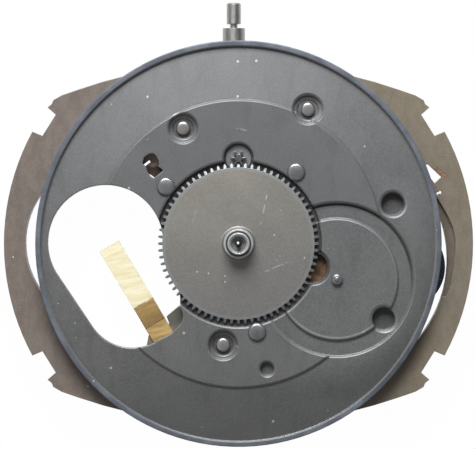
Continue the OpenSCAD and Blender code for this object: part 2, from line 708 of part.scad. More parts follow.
// The stator is one flat plate: a ring round the magnet and two arms to the ends of the coil's core.
module stator() {
    color([0.62, 0.62, 0.60]) translate([0, 0, z_stator - stator_t]) difference() {
        union() {
            at(rotor_pos) cylinder(r = 1.30, h = stator_t);
            for (p = motor_screw_pos) at(p) cylinder(r = 0.75, h = stator_t);
            linear_extrude(stator_t)
                polygon([rotor_pos + [-0.9, -0.9], rotor_pos + [0.9, -0.9], motor_screw_pos[0] + [0.62, -0.3],
                    motor_screw_pos[0] + [-0.62, -0.3]]);
            linear_extrude(stator_t)
                polygon([rotor_pos + [0.4, 1.1], rotor_pos + [0.4, -0.85], [6.2, -5.55], [8.4, -5.90],
                    motor_screw_pos[1] + [-0.62, 0], motor_screw_pos[1] + [0.62, 0], [9.7, -5.2],
                    [8.9, -4.55], [5.6, -4.35]]);
        }
        at(rotor_pos) hole(stator_bore_r, -e, stator_t + e);
        at(rotor_pos + 1.42*[cos(118), sin(118)]) hole(0.28, -e, stator_t + e);
        at(rotor_pos + 1.42*[cos(-62), sin(-62)]) hole(0.22, -e, stator_t + e);
        for (p = motor_screw_pos) at(p) hole(0.25 + seat, -e, stator_t + e);
    }
}

core_t = 0.40;
coil_z = z_stator + core_t/2;
coil_x = (motor_screw_pos[0][0] + motor_screw_pos[1][0])/2;
coil_y = motor_screw_pos[0][1];
module coil_core() {
    color([0.60, 0.60, 0.58]) translate([0, 0, z_stator]) linear_extrude(core_t) difference() {
        union() {
            for (p = motor_screw_pos) translate(p) circle(0.75);
            translate([motor_screw_pos[0][0], coil_y - 0.45])
                square([motor_screw_pos[1][0] - motor_screw_pos[0][0], 0.9]);
        }
        for (p = motor_screw_pos) translate(p) circle(0.25 + seat);
    }
}

module coil_winding() {
    color([0.62, 0.32, 0.16]) difference() {
        translate([coil_x - coil_l/2, coil_y, coil_z]) rotate([0, 90, 0]) cylinder(r = coil_r, h = coil_l);
        translate([coil_x - 5, coil_y - 0.45 - seat, z_stator - seat]) cube([10, 0.9 + 2*seat, core_t + 2*seat]);
    }
}

module coil_flanges() {
    color([0.20, 0.22, 0.24]) for (s = [-1, 1]) difference() {
        translate([coil_x + s*(coil_l/2 + 0.09) - 0.09, coil_y - 1, coil_z - 0.97]) cube([0.18, 2, 1.94]);
        translate([coil_x - 5, coil_y - 0.45 - seat, z_stator - seat]) cube([10, 0.9 + 2*seat, core_t + 2*seat]);
    }
}

module train_bridge() {
    color([0.74, 0.72, 0.66]) difference() {
        translate([0, 0, z_bridge - bridge_t]) linear_extrude(bridge_t) polygon(bridge_edge);
        for (p = [third_pos, mid_pos, rotor_pos, [0, 0]]) at(p) hole(0.50 + seat, z_back - 1, z_bridge + 1);
        for (p = bridge_screw_pos) at(p) {
            hole(0.25 + seat, z_back - 1, z_bridge + 1);
            hole(0.60, z_back - 1, z_bridge - bridge_t + 0.22);
        }
    }
}

module bridge_jewels() {
    color([0.75, 0.12, 0.25]) {
        for (p = [third_pos, mid_pos, rotor_pos]) at(p)
            ring(0.50, pivot_r + 0.02, z_bridge - bridge_t + 0.08, z_bridge - 0.02);
        ring(0.50, 0.12 + 0.02, z_bridge - bridge_t + 0.08, z_bridge - 0.02);
    }
}

module plate_jewels() {
    color([0.75, 0.12, 0.25]) for (p = [third_pos, mid_pos, rotor_pos]) at(p)
        ring(0.40, pivot_r + 0.02, z_under + 0.02, z_under + 0.35);
}

// A slotted screw whose head's outer face is at z = 0 and which points up along +Z.
module screw(head_r, head_h, shank, length) {
    difference() {
        union() {
            cylinder(r = head_r, h = head_h);
            cylinder(r = shank, h = length);
        }
        translate([-head_r - 1, -0.07, -e]) cube([2*head_r + 2, 0.14, head_h*0.45]);
    }
}

module bridge_screws() {
    color([0.72, 0.72, 0.72]) for (p = bridge_screw_pos) at(p, z_bridge - bridge_t + 0.02)
        screw(0.55, 0.20, 0.25, 1.3);
}

module centre_screw() {
    color([0.72, 0.72, 0.72]) at(centre_bridge_screw, z_cbridge - cbridge_t - 0.18)
        screw(0.42, 0.18, 0.20, 0.68);
}

module motor_screws() {
    color([0.72, 0.72, 0.72]) for (p = motor_screw_pos) at(p, z_stator - stator_t - 0.25)
        screw(0.60, 0.25, 0.25, 1.5);
}

quartz_pos = [7.55, 3.65];
board_window = [[quartz_pos[0] - quartz_l/2 - 0.15, quartz_pos[1] - quartz_r - 0.15],
    [quartz_pos[0] + quartz_l/2 + 0.15, quartz_pos[1] - quartz_r - 0.15],
    [quartz_pos[0] + quartz_l/2 + 0.15, quartz_pos[1] + quartz_r + 0.15],
    [quartz_pos[0] - quartz_l/2 - 0.15, quartz_pos[1] + quartz_r + 0.15]];
// The adjuster's centre stays this far inside the deep part's edge, so the board keeps a rim round it.
trimmer_edge = 2.10;
trimmer_pos = [body_r - trimmer_edge, -1.50];
z_board = z_ledge;
module circuit_board() {
    color([0.10, 0.28, 0.18]) translate([0, 0, z_board - board_t]) linear_extrude(board_t) difference() {
        intersection() {
            translate([cavity_x, cavity_y]) circle(cavity_r + 0.30);
            translate([4.75, -4.0]) square([12, 12]);
            circle(body_r);
        }
        polygon(board_window);
        translate(trimmer_pos) circle(1.25);
    }
}

module chip() {
    color([0.08, 0.08, 0.09]) translate([6.6, 0.2, z_board - board_t - 0.42]) cylinder(r1 = 1.05, r2 = 1.35, h = 0.42);
}

module quartz_can() {
    color([0.72, 0.73, 0.74]) translate([quartz_pos[0], quartz_pos[1], 0]) rotate([0, 90, 0]) {
        translate([-z_back - 0.08 - quartz_r, 0, -quartz_l/2]) cylinder(r = quartz_r, h = quartz_l);
        for (y = [-0.3, 0.3]) translate([-z_board - 0.08, y, quartz_l/2 - 0.1])
            cylinder(r = 0.08, h = 0.75);
    }
}

module trimmer() {
    color([0.16, 0.13, 0.18]) at(trimmer_pos) difference() {
        hole(trimmer_r, z_board, z_board + trimmer_h);
        hole(1.15, z_board - 1, z_board + 0.5);
        hole(0.32, z_board - 1, z_board + trimmer_h - 0.3);
    }
}

module trimmer_screw() {
    color([0.76, 0.72, 0.60]) at(trimmer_pos) difference() {
        union() {
            hole(1.10, z_board + 0.05, z_board + 0.40);
            hole(0.30, z_board + 0.05, z_board + trimmer_h - 0.35);
        }
        translate([-1.3, -0.13, z_board]) cube([2.6, 0.26, 0.22]);
    }
}

// The contact spring runs from under the plate's edge into the cell well: tab, drop and long blade.
contact_dir = 120.9;
contact_root = [-4.81, -5.97];
module cell_contact() {
    color([0.88, 0.80, 0.55]) difference() {
        translate([contact_root[0], contact_root[1], z_under - 0.02]) rotate(contact_dir)
            rotate([90, 0, 0]) translate([0, 0, -contact_w/2]) linear_extrude(contact_w)
                polygon(blade_points());
        at(contact_screw_pos) hole(0.27, z_under - 1, z_under + 1);
    }
}
// Side view of the blade: distance from the root against height, top line then bottom line.
blade_top = [[-1.50, 0], [1.06, 0], [2.46, -0.62], [6.30, -0.22], [6.76, -0.40]];
function blade_points() = concat(blade_top,
    [for (i = [len(blade_top) - 1:-1:0]) blade_top[i] - [0, contact_t]]);

module contact_screw() {
    color([0.72, 0.72, 0.72]) at(contact_screw_pos, z_under) mirror([0, 0, 1]) screw(0.24, 0.2, 0.24, 1.3);
}

module side_contact() {
    color([0.85, 0.76, 0.48]) translate([cell_x, cell_y, 0]) rotate(100)
        translate([well_r - 0.30, -1.2, z_back + 0.3]) cube([contact_t, 2.4, frame_t - 0.6]);
}

lead_pos = [12.93, 4.57];
lead_t = 0.08;
module along_lead(w, t) {
    translate([lead_pos[0], lead_pos[1], z_under - t]) rotate(-39)
        translate([-0.54, -w/2, 0]) cube([1.08, w, t]);
}
module copper_lead() {
    color([0.78, 0.45, 0.30]) along_lead(0.15, lead_t);
}

// The stem lies along +Y: outer end, neck, body, groove for the lever's pin, square and pilot.
module along_stem() translate([stem_x, 0, stem_z]) rotate([-90, 0, 0]) children();
module stem() {
    color([0.66, 0.65, 0.60]) along_stem() {
        shaft([[bush_out_y + 0.27, stem_end_y - 0.08, stem_r],
            [bush_out_y - 0.31, bush_out_y + 0.28, neck_r],
            [groove_stem_y + groove_stem_w, bush_out_y - 0.30, stem_r],
            [groove_stem_y - e, groove_stem_y + groove_stem_w + e, neck_r],
            [groove_stem_y - 0.10, groove_stem_y, stem_r - 0.03],
            [square_y - pull - 0.8, square_y + e, 0.18]]);
        translate([0, 0, stem_end_y - 0.08]) cylinder(r1 = stem_r, r2 = stem_r - 0.08, h = 0.08);
        translate([-square/2, -square/2, square_y]) cube([square, square, groove_stem_y - square_y - 0.05]);
    }
}

module stem_bush() {
    color([0.60, 0.59, 0.55]) along_stem() difference() {
        union() {
            hole(bush_r, body_r + 0.02, bush_out_y);
            hole(bush_r - 0.1 - seat, bush_in_y, body_r + 0.05);
        }
        hole(stem_r + run_gap, 0, 20);
    }
}

module clutch() {
    color([0.66, 0.66, 0.66]) along_stem() difference() {
        union() {
            hole(clutch_r, clutch_y, clutch_y + clutch_collar);
            hole(0.45, clutch_y, clutch_y + clutch_l);
            hole(clutch_r, clutch_y + clutch_collar + clutch_waist, clutch_y + clutch_l);
        }
        translate([-square/2 - seat, -square/2 - seat, 0]) cube([square + 2*seat, square + 2*seat, 20]);
        for (a = [0:30:330]) rotate(a) translate([0.45, -0.11, clutch_y - e]) cube([1, 0.22, 0.16]);
    }
}

function cam_point() = [lever_x, lever_y] + cam_arm*[cos(-90 - lever_a), sin(-90 - lever_a)];
yoke_slots = [[1.55, 9.05], [1.55, 10.45]];
cam_shift = 2*cam_arm*sin(lever_a);
finger_y = clutch_y + clutch_collar + (clutch_waist - finger_t)/2;
module yoke() {
    c = cam_point();
    run = [cam_shift, shift]/norm([cam_shift, shift]);
    q = c + (cam_pin_r + 0.02)*[run[1], -run[0]];
    color([0.70, 0.70, 0.70]) {
        translate([0, 0, z_yoke - yoke_t]) linear_extrude(yoke_t) difference() {
            polygon([q - 0.35*run, q + 0.70*run, [-0.75, q[1] + 0.70*run[1]], [-0.75, finger_y + 0.30],
                [1.1, finger_y + 0.30], [1.1, 11.1], [2.1, 11.1], [2.1, 8.57], [-2.6, 8.57], [-2.95, 8.9]]);
            for (p = yoke_slots) {
                translate(p) circle(0.22);
                translate(p + [0, shift + 0.05]) circle(0.22);
                translate(p + [-0.22, 0]) square([0.44, shift + 0.05]);
            }
        }
        translate([stem_x - 0.2, finger_y, z_yoke - yoke_t])
            cube([0.4, finger_t, stem_z - 0.47 - z_yoke + yoke_t]);
    }
}

// The setting lever turns about its stud: one arm's pin rides in the stem's groove, the other's
// pin pushes the yoke's sloping edge.
module setting_lever() {
    p = [stem_x - lever_x, lever_arm*sin(-lever_a)];
    c = cam_point() - [lever_x, lever_y];
    color([0.68, 0.68, 0.68]) translate([lever_x, lever_y, 0]) {
        translate([0, 0, z_lever - lever_t]) linear_extrude(lever_t) difference() {
            union() {
                circle(0.50);
                polygon([[0, 0.45], p + [0, 0.28], p + [0.28, 0], p + [0, -0.28], [0.2, -0.48]]);
                polygon([[-0.48, 0], c + [-0.28, 0], c + [0, -0.25], c + [0.28, 0], [0.48, 0]]);
            }
            circle(0.25 + run_gap);
        }
        at(p) shaft([[z_lever - e, stem_z - neck_r - 0.05, lever_pin_r]]);
        at(c) shaft([[z_yoke - yoke_t, z_lever - lever_t + e, cam_pin_r]]);
    }
}

spring_post = [-4.35, 9.05];
module lever_spring() {
    c = cam_point();
    color([0.74, 0.74, 0.74]) translate([0, 0, z_lever - lever_t]) linear_extrude(lever_t) difference() {
        union() {
            translate(spring_post) circle(0.52);
            polygon([spring_post + [0, -0.45], [-1.85, 8.72], [-1.85, 9.42], [-3.15, 9.42], [-3.15, 8.95],
                spring_post + [0, -0.22]]);
        }
        translate(spring_post) circle(0.25 + seat);
        for (x = [0, 0.5, 1]) translate(c + [x*cam_shift, 0]) circle(0.30);
    }
}

setting_turn = mesh(90, motion_teeth, minute_wheel_turn, setting_teeth);
module setting_wheel() {
    color([0.66, 0.66, 0.66]) at([stem_x, setting_y], z_motion) difference() {
        gear(setting_teeth, m_motion, motion_t, add = 0.8, w = 0.70, turn = setting_turn);
        hole(0.20 + run_gap, -1, 1);
    }
}

module setting_post() {
    color([0.70, 0.70, 0.70]) at([stem_x, setting_y])
        shaft([[z_motion - motion_t - 0.06, z_under + 0.45, 0.20],
            [z_motion - motion_t - 0.12, z_motion - motion_t - 0.04, 0.34]]);
}

module keyless_cover() {
    color([0.74, 0.72, 0.66]) difference() {
        translate([0, 0, z_bridge - bridge_t]) linear_extrude(bridge_t) polygon(keyless_lid);
        for (p = keyless_screw_pos) at(p) {
            hole(0.25 + seat, z_back - 1, z_bridge + 1);
            hole(0.60, z_back - 1, z_bridge - bridge_t + 0.22);
        }
        for (p = post_places()) at(p) hole(0.25 + seat, z_back - 1, z_bridge + 1);
    }
}
function post_places() = [[lever_x, lever_y], spring_post, yoke_slots[0], yoke_slots[1]];

module keyless_posts() {
    color([0.72, 0.72, 0.72]) {
        at([lever_x, lever_y]) shaft([[z_bridge - bridge_t + 0.05, z_lever + 0.08, 0.25],
            [z_lever + 0.03, z_lever + 0.12, 0.38]]);
        at(spring_post) shaft([[z_bridge - bridge_t + 0.05, z_lever + 0.08, 0.25]]);
        for (p = yoke_slots) at(p) shaft([[z_bridge - bridge_t + 0.05, z_bridge, 0.25],
            [z_bridge - e, z_yoke + 0.10, 0.19]]);
    }
}

module keyless_screws() {
    color([0.72, 0.72, 0.72]) for (p = keyless_screw_pos) at(p, z_bridge - bridge_t + 0.02)
        screw(0.55, 0.20, 0.25, 1.3);
}

dial_plate();
frame();
plate_rivets();
wheel_guard_posts();
groove_post();
minute_bush();
hour_wheel();
cannon_pinion();
centre_wheel();
minute_wheel();
minute_pinion();
centre_tube();
centre_bridge();
seconds_wheel();
seconds_arbor();
third_wheel();
third_pinion();
intermediate_wheel();
intermediate_pinion();
rotor_magnet();
rotor_pinion();
stator();
coil_core();
coil_winding();
coil_flanges();
train_bridge();
bridge_jewels();
plate_jewels();
bridge_screws();
centre_screw();
motor_screws();
circuit_board();
chip();
quartz_can();
trimmer();
trimmer_screw();
cell_contact();
contact_screw();
side_contact();
copper_lead();
stem();
stem_bush();
clutch();
yoke();
setting_lever();
lever_spring();
setting_wheel();
setting_post();
keyless_cover();
keyless_posts();
keyless_screws();
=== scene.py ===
# %% [markdown]
# # A quartz watch movement, dial side up
# This is the engine of a quartz watch without its dial and hands. The dark plate carries the
# motion work, and the brown moulding under it holds the motor, the circuit and the cell's well.
# The CAD model already has every plate, wheel and screw, so this notebook does two things:
# it gives each of them a finish, and it makes by hand the small turned, wound and soldered
# pieces whose round forms a watchmaker would miss.

# %% Load the movement
import math

import bmesh
import bpy
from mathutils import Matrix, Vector


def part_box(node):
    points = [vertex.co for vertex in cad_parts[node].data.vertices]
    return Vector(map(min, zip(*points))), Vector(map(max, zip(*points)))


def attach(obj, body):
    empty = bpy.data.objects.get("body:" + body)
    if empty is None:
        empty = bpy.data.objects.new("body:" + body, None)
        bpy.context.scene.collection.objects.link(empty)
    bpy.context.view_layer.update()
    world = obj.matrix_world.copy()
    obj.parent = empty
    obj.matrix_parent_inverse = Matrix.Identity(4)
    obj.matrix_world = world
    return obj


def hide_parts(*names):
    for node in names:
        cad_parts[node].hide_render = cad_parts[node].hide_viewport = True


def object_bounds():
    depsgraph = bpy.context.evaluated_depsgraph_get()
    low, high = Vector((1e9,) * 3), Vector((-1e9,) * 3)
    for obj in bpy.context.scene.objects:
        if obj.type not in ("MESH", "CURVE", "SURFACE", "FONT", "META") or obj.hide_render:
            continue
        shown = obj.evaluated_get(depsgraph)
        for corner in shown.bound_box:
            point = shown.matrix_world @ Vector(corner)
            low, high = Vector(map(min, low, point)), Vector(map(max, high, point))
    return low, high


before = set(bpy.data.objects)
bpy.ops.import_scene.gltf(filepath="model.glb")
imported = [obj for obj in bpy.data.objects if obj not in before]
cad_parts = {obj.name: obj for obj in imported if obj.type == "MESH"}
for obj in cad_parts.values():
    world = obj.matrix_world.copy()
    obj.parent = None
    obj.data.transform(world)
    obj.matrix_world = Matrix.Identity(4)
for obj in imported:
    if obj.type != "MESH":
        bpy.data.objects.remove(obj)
cad_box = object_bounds()
MM = 0.001
print("pieces in the movement:", len(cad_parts))


# %% [markdown]
# ## Arithmetic on sockets
# A finish is easier to read as a sum than as a web of nodes. One small class wraps the output
# of a node, and a sign between two of them adds the Math node that does it. Everything else
# comes from one method, which takes the node's type, its settings and what goes in its sockets.

# %% Wires between shader nodes
class Wire:
    """The output of one shader node. A sign between two wires adds a Math node."""

    def __init__(self, finish, socket):
        self.finish, self.socket = finish, socket

    def sum(self, operation, first, second):
        return self.finish.node("ShaderNodeMath", {"operation": operation}, {0: first, 1: second})

    def __add__(self, other):
        return self.sum("ADD", self, other)

    def __radd__(self, other):
        return self.sum("ADD", other, self)

    def __sub__(self, other):
        return self.sum("SUBTRACT", self, other)

    def __rsub__(self, other):
        return self.sum("SUBTRACT", other, self)

    def __mul__(self, other):
        return self.sum("MULTIPLY", self, other)

    def __rmul__(self, other):
        return self.sum("MULTIPLY", other, self)

    def __gt__(self, other):
        return self.sum("GREATER_THAN", self, other)

    def larger(self, other):
        return self.sum("MAXIMUM", self, other)

    def smaller(self, other):
        return self.sum("MINIMUM", self, other)

    def size(self):
        return self.sum("ABSOLUTE", self, 0.0)


# %% A finish and its nodes
def rgba(colour):
    """A colour written as three numbers also gets an alpha of 1, and a wire stays a wire."""
    return (*colour, 1.0) if isinstance(colour, tuple) else colour


class Finish:
    """One material under construction, with the few moves that all the finishes share."""

    def __init__(self, name, **constants):
        self.material = bpy.data.materials.new(name)
        self.material.use_nodes = True
        self.tree = self.material.node_tree
        self.shader = self.tree.nodes["Principled BSDF"]
        for socket, value in constants.items():
            self.shader.inputs[socket.replace("_", " ")].default_value = value
        self.where = self.node("ShaderNodeTexCoord", out="Object")

    def node(self, kind, settings=None, sockets=None, out=0):
        made = self.tree.nodes.new(kind)
        for key, value in (settings or {}).items():
            setattr(made, key, value)
        for key, value in (sockets or {}).items():
            if isinstance(value, Wire):
                self.tree.links.new(value.socket, made.inputs[key])
            else:
                made.inputs[key].default_value = value
        return Wire(self, made.outputs[out])

    def noise(self, size, detail=2, rough=0.5, stretch=(1, 1, 1), shift=0, turn=0.0):
        """Noise with lumps about size mm across, from 0 to 1. A stretch under 1 draws them out that way."""
        spot = self.node("ShaderNodeMapping", {"vector_type": "TEXTURE"} if turn else None, {
            "Vector": self.where, "Location": (shift * MM, 0, 0), "Rotation": (0, 0, turn),
            "Scale": tuple(1 / s for s in stretch) if turn else stretch})
        return self.node("ShaderNodeTexNoise", None, {
            "Vector": spot, "Scale": 1 / (size * MM), "Detail": detail, "Roughness": rough})

    def fit(self, value, low, high, to_low=0.0, to_high=1.0):
        """Goes smoothly from to_low, where value is at low, to to_high, where it is at high."""
        return self.node("ShaderNodeMapRange", {"interpolation_type": "SMOOTHSTEP"}, {
            0: value, 1: low, 2: high, 3: to_low, 4: to_high})

    def mix(self, mask, first, second):
        """Colour first where mask is 0 and second where it is 1."""
        sockets = {0: mask, 6: rgba(first), 7: rgba(second)}
        return self.node("ShaderNodeMix", {"data_type": "RGBA"}, sockets, 2)

    def dot(self, first, second):
        sockets = {0: first, 1: second}
        return self.node("ShaderNodeVectorMath", {"operation": "DOT_PRODUCT"}, sockets, "Value")

    def radius(self, x=0.0, y=0.0):
        """Distance in metres from an upright line at x, y mm."""
        flat = self.node("ShaderNodeVectorMath", {"operation": "MULTIPLY_ADD"}, {
            0: self.where, 1: (1, 1, 0), 2: (-x * MM, -y * MM, 0)})
        return self.node("ShaderNodeVectorMath", {"operation": "LENGTH"}, {0: flat}, "Value")

    def along(self, axis):
        """The place in metres along X, Y or Z, which are 0, 1 and 2."""
        return self.node("ShaderNodeSeparateXYZ", None, {0: self.where}, axis)

    def ring(self, radius, low, high, soft=0.04):
        """1 between two radii in mm, with edges soft mm wide."""
        inside = self.fit(radius, (low - soft) * MM, (low + soft) * MM)
        return inside * self.fit(radius, (high + soft) * MM, (high - soft) * MM)

    def scratch(self, start, end, width=0.05):
        """A broken hair line between two places in mm."""
        run = Vector(end) - Vector(start)
        way = run.normalized()
        middle = (Vector(start) + Vector(end)) / 2 * MM
        here = self.node("ShaderNodeVectorMath", {"operation": "SUBTRACT"}, {
            0: self.where, 1: (*middle, 0)})
        lengthwise = self.dot(here, (*way, 0))
        sideways = self.dot(here, (-way.y, way.x, 0))
        wave = sideways + (self.noise(1.2, 1, 0.5) - 0.5) * (0.25 * MM)
        line = self.fit(wave.size(), width * MM, width * 0.4 * MM)
        ends = self.fit(lengthwise.size(), run.length / 2 * MM, run.length / 2.4 * MM)
        broken = self.fit(self.noise(0.35, 1, 0.5, shift=6), 0.42, 0.56)
        return line * ends * broken

    def spot(self, x, y, size, soft=0.5):
        """1 at a place in mm, falling to 0 at size mm from it."""
        return self.fit(self.radius(x, y), size * MM, size * soft * MM)

    def facing_up(self):
        """1 on what faces up, 0 on walls and on what faces down."""
        normal = self.node("ShaderNodeNewGeometry", out="True Normal")
        return self.node("ShaderNodeSeparateXYZ", None, {0: normal}, 2) > 0.5

    def soft_edges(self, size):
        """The surface's normal as if its corners were rounded to size mm."""
        return self.node("ShaderNodeBevel", {"samples": 6}, {"Radius": size * MM}, "Normal")

    def worn(self, edges):
        """1 at a rounded corner and 0 on the flats beside it."""
        true = self.node("ShaderNodeNewGeometry", out="Normal")
        return self.fit(self.dot(edges, true), 0.995, 0.75)

    def specks(self, cell, size, rarity):
        """Small specks of dust, seen from above: one in some cells of cell mm, up to size mm across."""
        flat = {"voronoi_dimensions": "2D"}
        place = {"Vector": self.where, "Scale": 1 / (cell * MM)}
        inside = self.node("ShaderNodeTexVoronoi", flat, place, "Distance")
        lot = self.node("ShaderNodeTexVoronoi", flat, place, "Color")
        chosen = self.node("ShaderNodeSeparateColor", None, {0: lot}, 0) > rarity
        smaller = self.node("ShaderNodeSeparateColor", None, {0: lot}, 1) * (0.65 * size / cell)
        grain = self.fit(inside + smaller, size / cell, size / cell * 0.6)
        return grain * chosen * self.facing_up()

    def bump(self, height, depth, normal=None):
        """A normal for a height in units of depth mm, on top of another normal if one is given."""
        sockets = {"Height": height, "Distance": depth * MM}
        if normal:
            sockets["Normal"] = normal
        return self.node("ShaderNodeBump", None, sockets, "Normal")

    def paint(self, **wires):
        """Joins the wires to the shader's sockets and gives back the material."""
        for socket, wire in wires.items():
            self.tree.links.new(wire.socket, self.shader.inputs[socket.replace("_", " ")])
        return self.material


# %% [markdown]
# ## The plate
# The main plate is brass with a dark nickel bath over a blasted surface: a sandy, almost black
# grey that goes thin and bright on corners, with a turned rim whose blue reflection is painted
# into its colour. Grain comes from noise of a few sizes, small rounded corners from a Bevel node,
# and the rim from its radius. The steps and holes of the plate are round too, so a list of circles
# is enough to wear their corners wider than a Bevel node could.

# %% Places on the plate
RIM_FROM = 12.60    # mm, where the turned rim starts
PLATEAU_R = 9.20    # mm, the edge of the plateau
RECESS_R = 5.31     # mm, the edge of the recess round the hour wheel
RECESS_TOP = -0.40  # mm up, below this the recess is painted dark as shade
HOLES_DARK = -0.62  # mm up, below this the walls of the holes are painted dark as shade
HOLE_FLOOR = -0.75  # mm up, just over the floors of the holes
FLOOR_FROM = 9.30   # mm, where the outer floor starts to fall away
FLOOR_SLOPE = 0.11  # how much the light reads it as falling
PLATE_SCRATCH = ((-0.2, 7.36), (0.7, 7.18))  # mm, from and to
# Places and radii in mm: the ring groove round its island, the rivets with the two steps of
# their counterbores, the holes for the dial's feet and for a pin, the minute wheel's bush and
# the round aperture.
GROOVE_AT, GROOVE_R, ISLAND_R = (6.28, -2.28), 4.90, 3.90
RIVETS, COUNTERBORES = [(-3.53, 7.37), (4.43, 8.58), (-0.98, -6.45)], (0.93, 0.66)
FOOT_HOLES, FOOT_HOLE_R = [(9.85, 2.53), (9.27, -4.80)], 0.80
PIN_HOLE, PIN_HOLE_R = (1.82, -7.98), 0.45
BUSH_AT, BUSH_HOLE_R = (0, 5.45), 0.96
APERTURE_AT, APERTURE_R = (4.74, -1.50), 1.08
LIP, LIP_FALL = 0.13, 0.055  # mm, how wide the corners are worn and how far they fall
HOLE, BOSS = 1, -1           # a hole's corner falls inwards and a boss's outwards
LIPS = [
    ((0, 0), PLATEAU_R, BOSS), ((0, 0), RECESS_R, HOLE),
    (GROOVE_AT, GROOVE_R, HOLE), (GROOVE_AT, ISLAND_R, BOSS),
    *[(at, FOOT_HOLE_R, HOLE) for at in FOOT_HOLES],
    (PIN_HOLE, PIN_HOLE_R, HOLE), (BUSH_AT, BUSH_HOLE_R, HOLE), (APERTURE_AT, APERTURE_R, HOLE),
    *[(at, size, HOLE) for size in COUNTERBORES for at in RIVETS]]
print("worn corners on the plate:", len(LIPS))


# %% Worn corners and the ring groove
def above_holes(f):
    """1 on the plate's levels and 0 on the floors of its holes."""
    return f.fit(f.along(2), HOLE_FLOOR * MM, (HOLE_FLOOR + 0.05) * MM)


def worn_lips(f):
    """How far the worn corners have fallen, in metres, and a mask of where they shine."""
    fallen, shine = 0.0, 0.0
    outside_groove = f.radius(*GROOVE_AT) > GROOVE_R * MM
    for at, size, way in LIPS:
        gone = f.fit(f.radius(*at), (size + way * LIP) * MM, size * MM)
        if size == PLATEAU_R:
            gone = gone * outside_groove
        fallen = gone + fallen
        shine = gone * (1 - gone) * 4 + shine
    shallow = above_holes(f)
    return fallen * shallow * (LIP_FALL * MM), shine.smaller(1.0) * shallow


def groove_lines(f, base, across):
    """The groove's far wall lies in shadow, and the island's corner is lit on the right and below."""
    far_side = f.fit(f.along(0) * 0.45 + f.along(1), 1.0 * MM, 4.2 * MM)
    foot = f.ring(across, GROOVE_R - 0.19, GROOVE_R - 0.05, 0.06) * far_side
    base = f.mix(foot * 0.90, base, (0.026, 0.026, 0.028))
    right_side = f.fit(f.along(0) * 0.9 + f.along(1) * 0.4, 5.6 * MM, 8.2 * MM)
    low_side = f.fit(f.along(1), -3.8 * MM, -5.4 * MM)
    right_lip = f.ring(across, ISLAND_R - 0.12, ISLAND_R - 0.04, 0.05) * right_side
    low_lip = f.ring(across, ISLAND_R - 0.23, ISLAND_R - 0.07, 0.05) * low_side
    lip = right_lip.larger(low_lip) * above_holes(f)
    return f.mix(lip * 0.45, base, (0.50, 0.51, 0.52))


# %% Dark blasted plate
def blasted_grey(f, sand):
    """The plate's colour: clouds, blasted grains and smears, with painted light that makes it bluer at the
    top and painted shade that makes it darker at the bottom.
    """
    cloud = f.fit(f.noise(3.2, 3, 0.55), 0.3, 0.7)
    smear = f.fit(f.noise(0.9, 2, 0.6, (1, 0.35, 1), 7), 0.52, 0.75)
    upper = f.fit(f.along(1), -9 * MM, 12 * MM)
    lower = f.fit(f.along(1), -6 * MM, -12 * MM)
    base = f.mix(cloud, (0.140, 0.140, 0.140), (0.170, 0.169, 0.168))
    base = f.mix(f.fit(sand, 0.25, 0.85) * 0.7, base, (0.262, 0.260, 0.252))
    base = f.mix(smear * 0.35, base, (0.125, 0.125, 0.122))
    # Painted light: bluer towards the top.
    base = f.mix(upper * 0.20, base, (0.180, 0.187, 0.210))
    # Painted shade: darker towards the bottom.
    return f.mix(lower * 0.4, base, (0.110, 0.110, 0.111))


def in_shade(f, base, r):
    """Painted shade on the walls of the deep holes and in the recess round the hour wheel."""
    deep = f.fit(f.along(2), HOLES_DARK * MM, (HOLES_DARK - 0.2) * MM)
    base = f.mix(deep * 0.40, base, (0.045, 0.045, 0.048))
    recess = f.fit(r, (RECESS_R + 0.14) * MM, (RECESS_R + 0.04) * MM)
    recess_shade = f.fit(f.along(2), RECESS_TOP * MM, (RECESS_TOP - 0.12) * MM) * recess
    return f.mix(recess_shade * 0.85, base, (0.070, 0.062, 0.062))


def dark_plate_finish():
    f = Finish("dark blasted plate", Metallic=0.6)
    r = f.radius()
    across = f.radius(*GROOVE_AT)
    sand = f.noise(0.085, 3, 0.7)
    edges = f.soft_edges(0.13)
    worn = f.worn(edges)
    fallen, shine = worn_lips(f)
    rim = f.fit(r, (RIM_FROM + 0.02) * MM, (RIM_FROM + 0.10) * MM)
    tint = f.fit(f.noise(1.6, 2, 0.6, shift=3), 0.35, 0.7)
    # Painted reflection: the blue that the turned rim shows.
    blue = f.mix(tint, (0.135, 0.148, 0.180), (0.205, 0.222, 0.260))
    base = blasted_grey(f, sand)
    base = f.mix((worn * 0.6).larger(shine * 0.3), base, (0.56, 0.57, 0.585))
    base = f.mix(rim, base, f.mix(worn * 0.4, blue, (0.50, 0.53, 0.58)))
    base = f.mix(f.specks(1.15, 0.105, 0.92) * 0.85, base, (0.60, 0.59, 0.57))
    base = f.mix(f.scratch(*PLATE_SCRATCH) * 0.8, base, (0.42, 0.41, 0.38))
    base = groove_lines(f, in_shade(f, base, r), across)
    past_groove = f.fit(across, GROOVE_R * MM, (GROOVE_R + 3) * MM)
    outwards = (r - FLOOR_FROM * MM).larger(0.0).smaller((RIM_FROM - FLOOR_FROM) * MM)
    dish = outwards * past_groove * -FLOOR_SLOPE
    return f.paint(
        Base_Color=base,
        Roughness=f.fit(sand, 0.2, 0.8, 0.40, 0.52) + rim * 0.04 - worn * (1 - rim) * 0.16,
        Normal=f.bump(sand, 0.006, f.bump(dish - fallen, 1 / MM, edges)))


def dress(finish, *nodes):
    """Every slot of these pieces of the movement gets the finish."""
    for name in nodes:
        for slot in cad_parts[name].material_slots:
            slot.material = finish
    print(finish.name, "on", ", ".join(nodes))


dress(dark_plate_finish(), "dial_plate")


# %% [markdown]
# ## The hour wheel
# The hour wheel is the large disc in the middle. Its face is blasted like the plate but the
# metal under it is warmer, so it reads as olive grey, with fine light scratches from hands
# being fitted. Its teeth and its pipe are bare. Dust and scratches stand at chosen places,
# because the eye knows them again, and only the finest dust is left to chance.

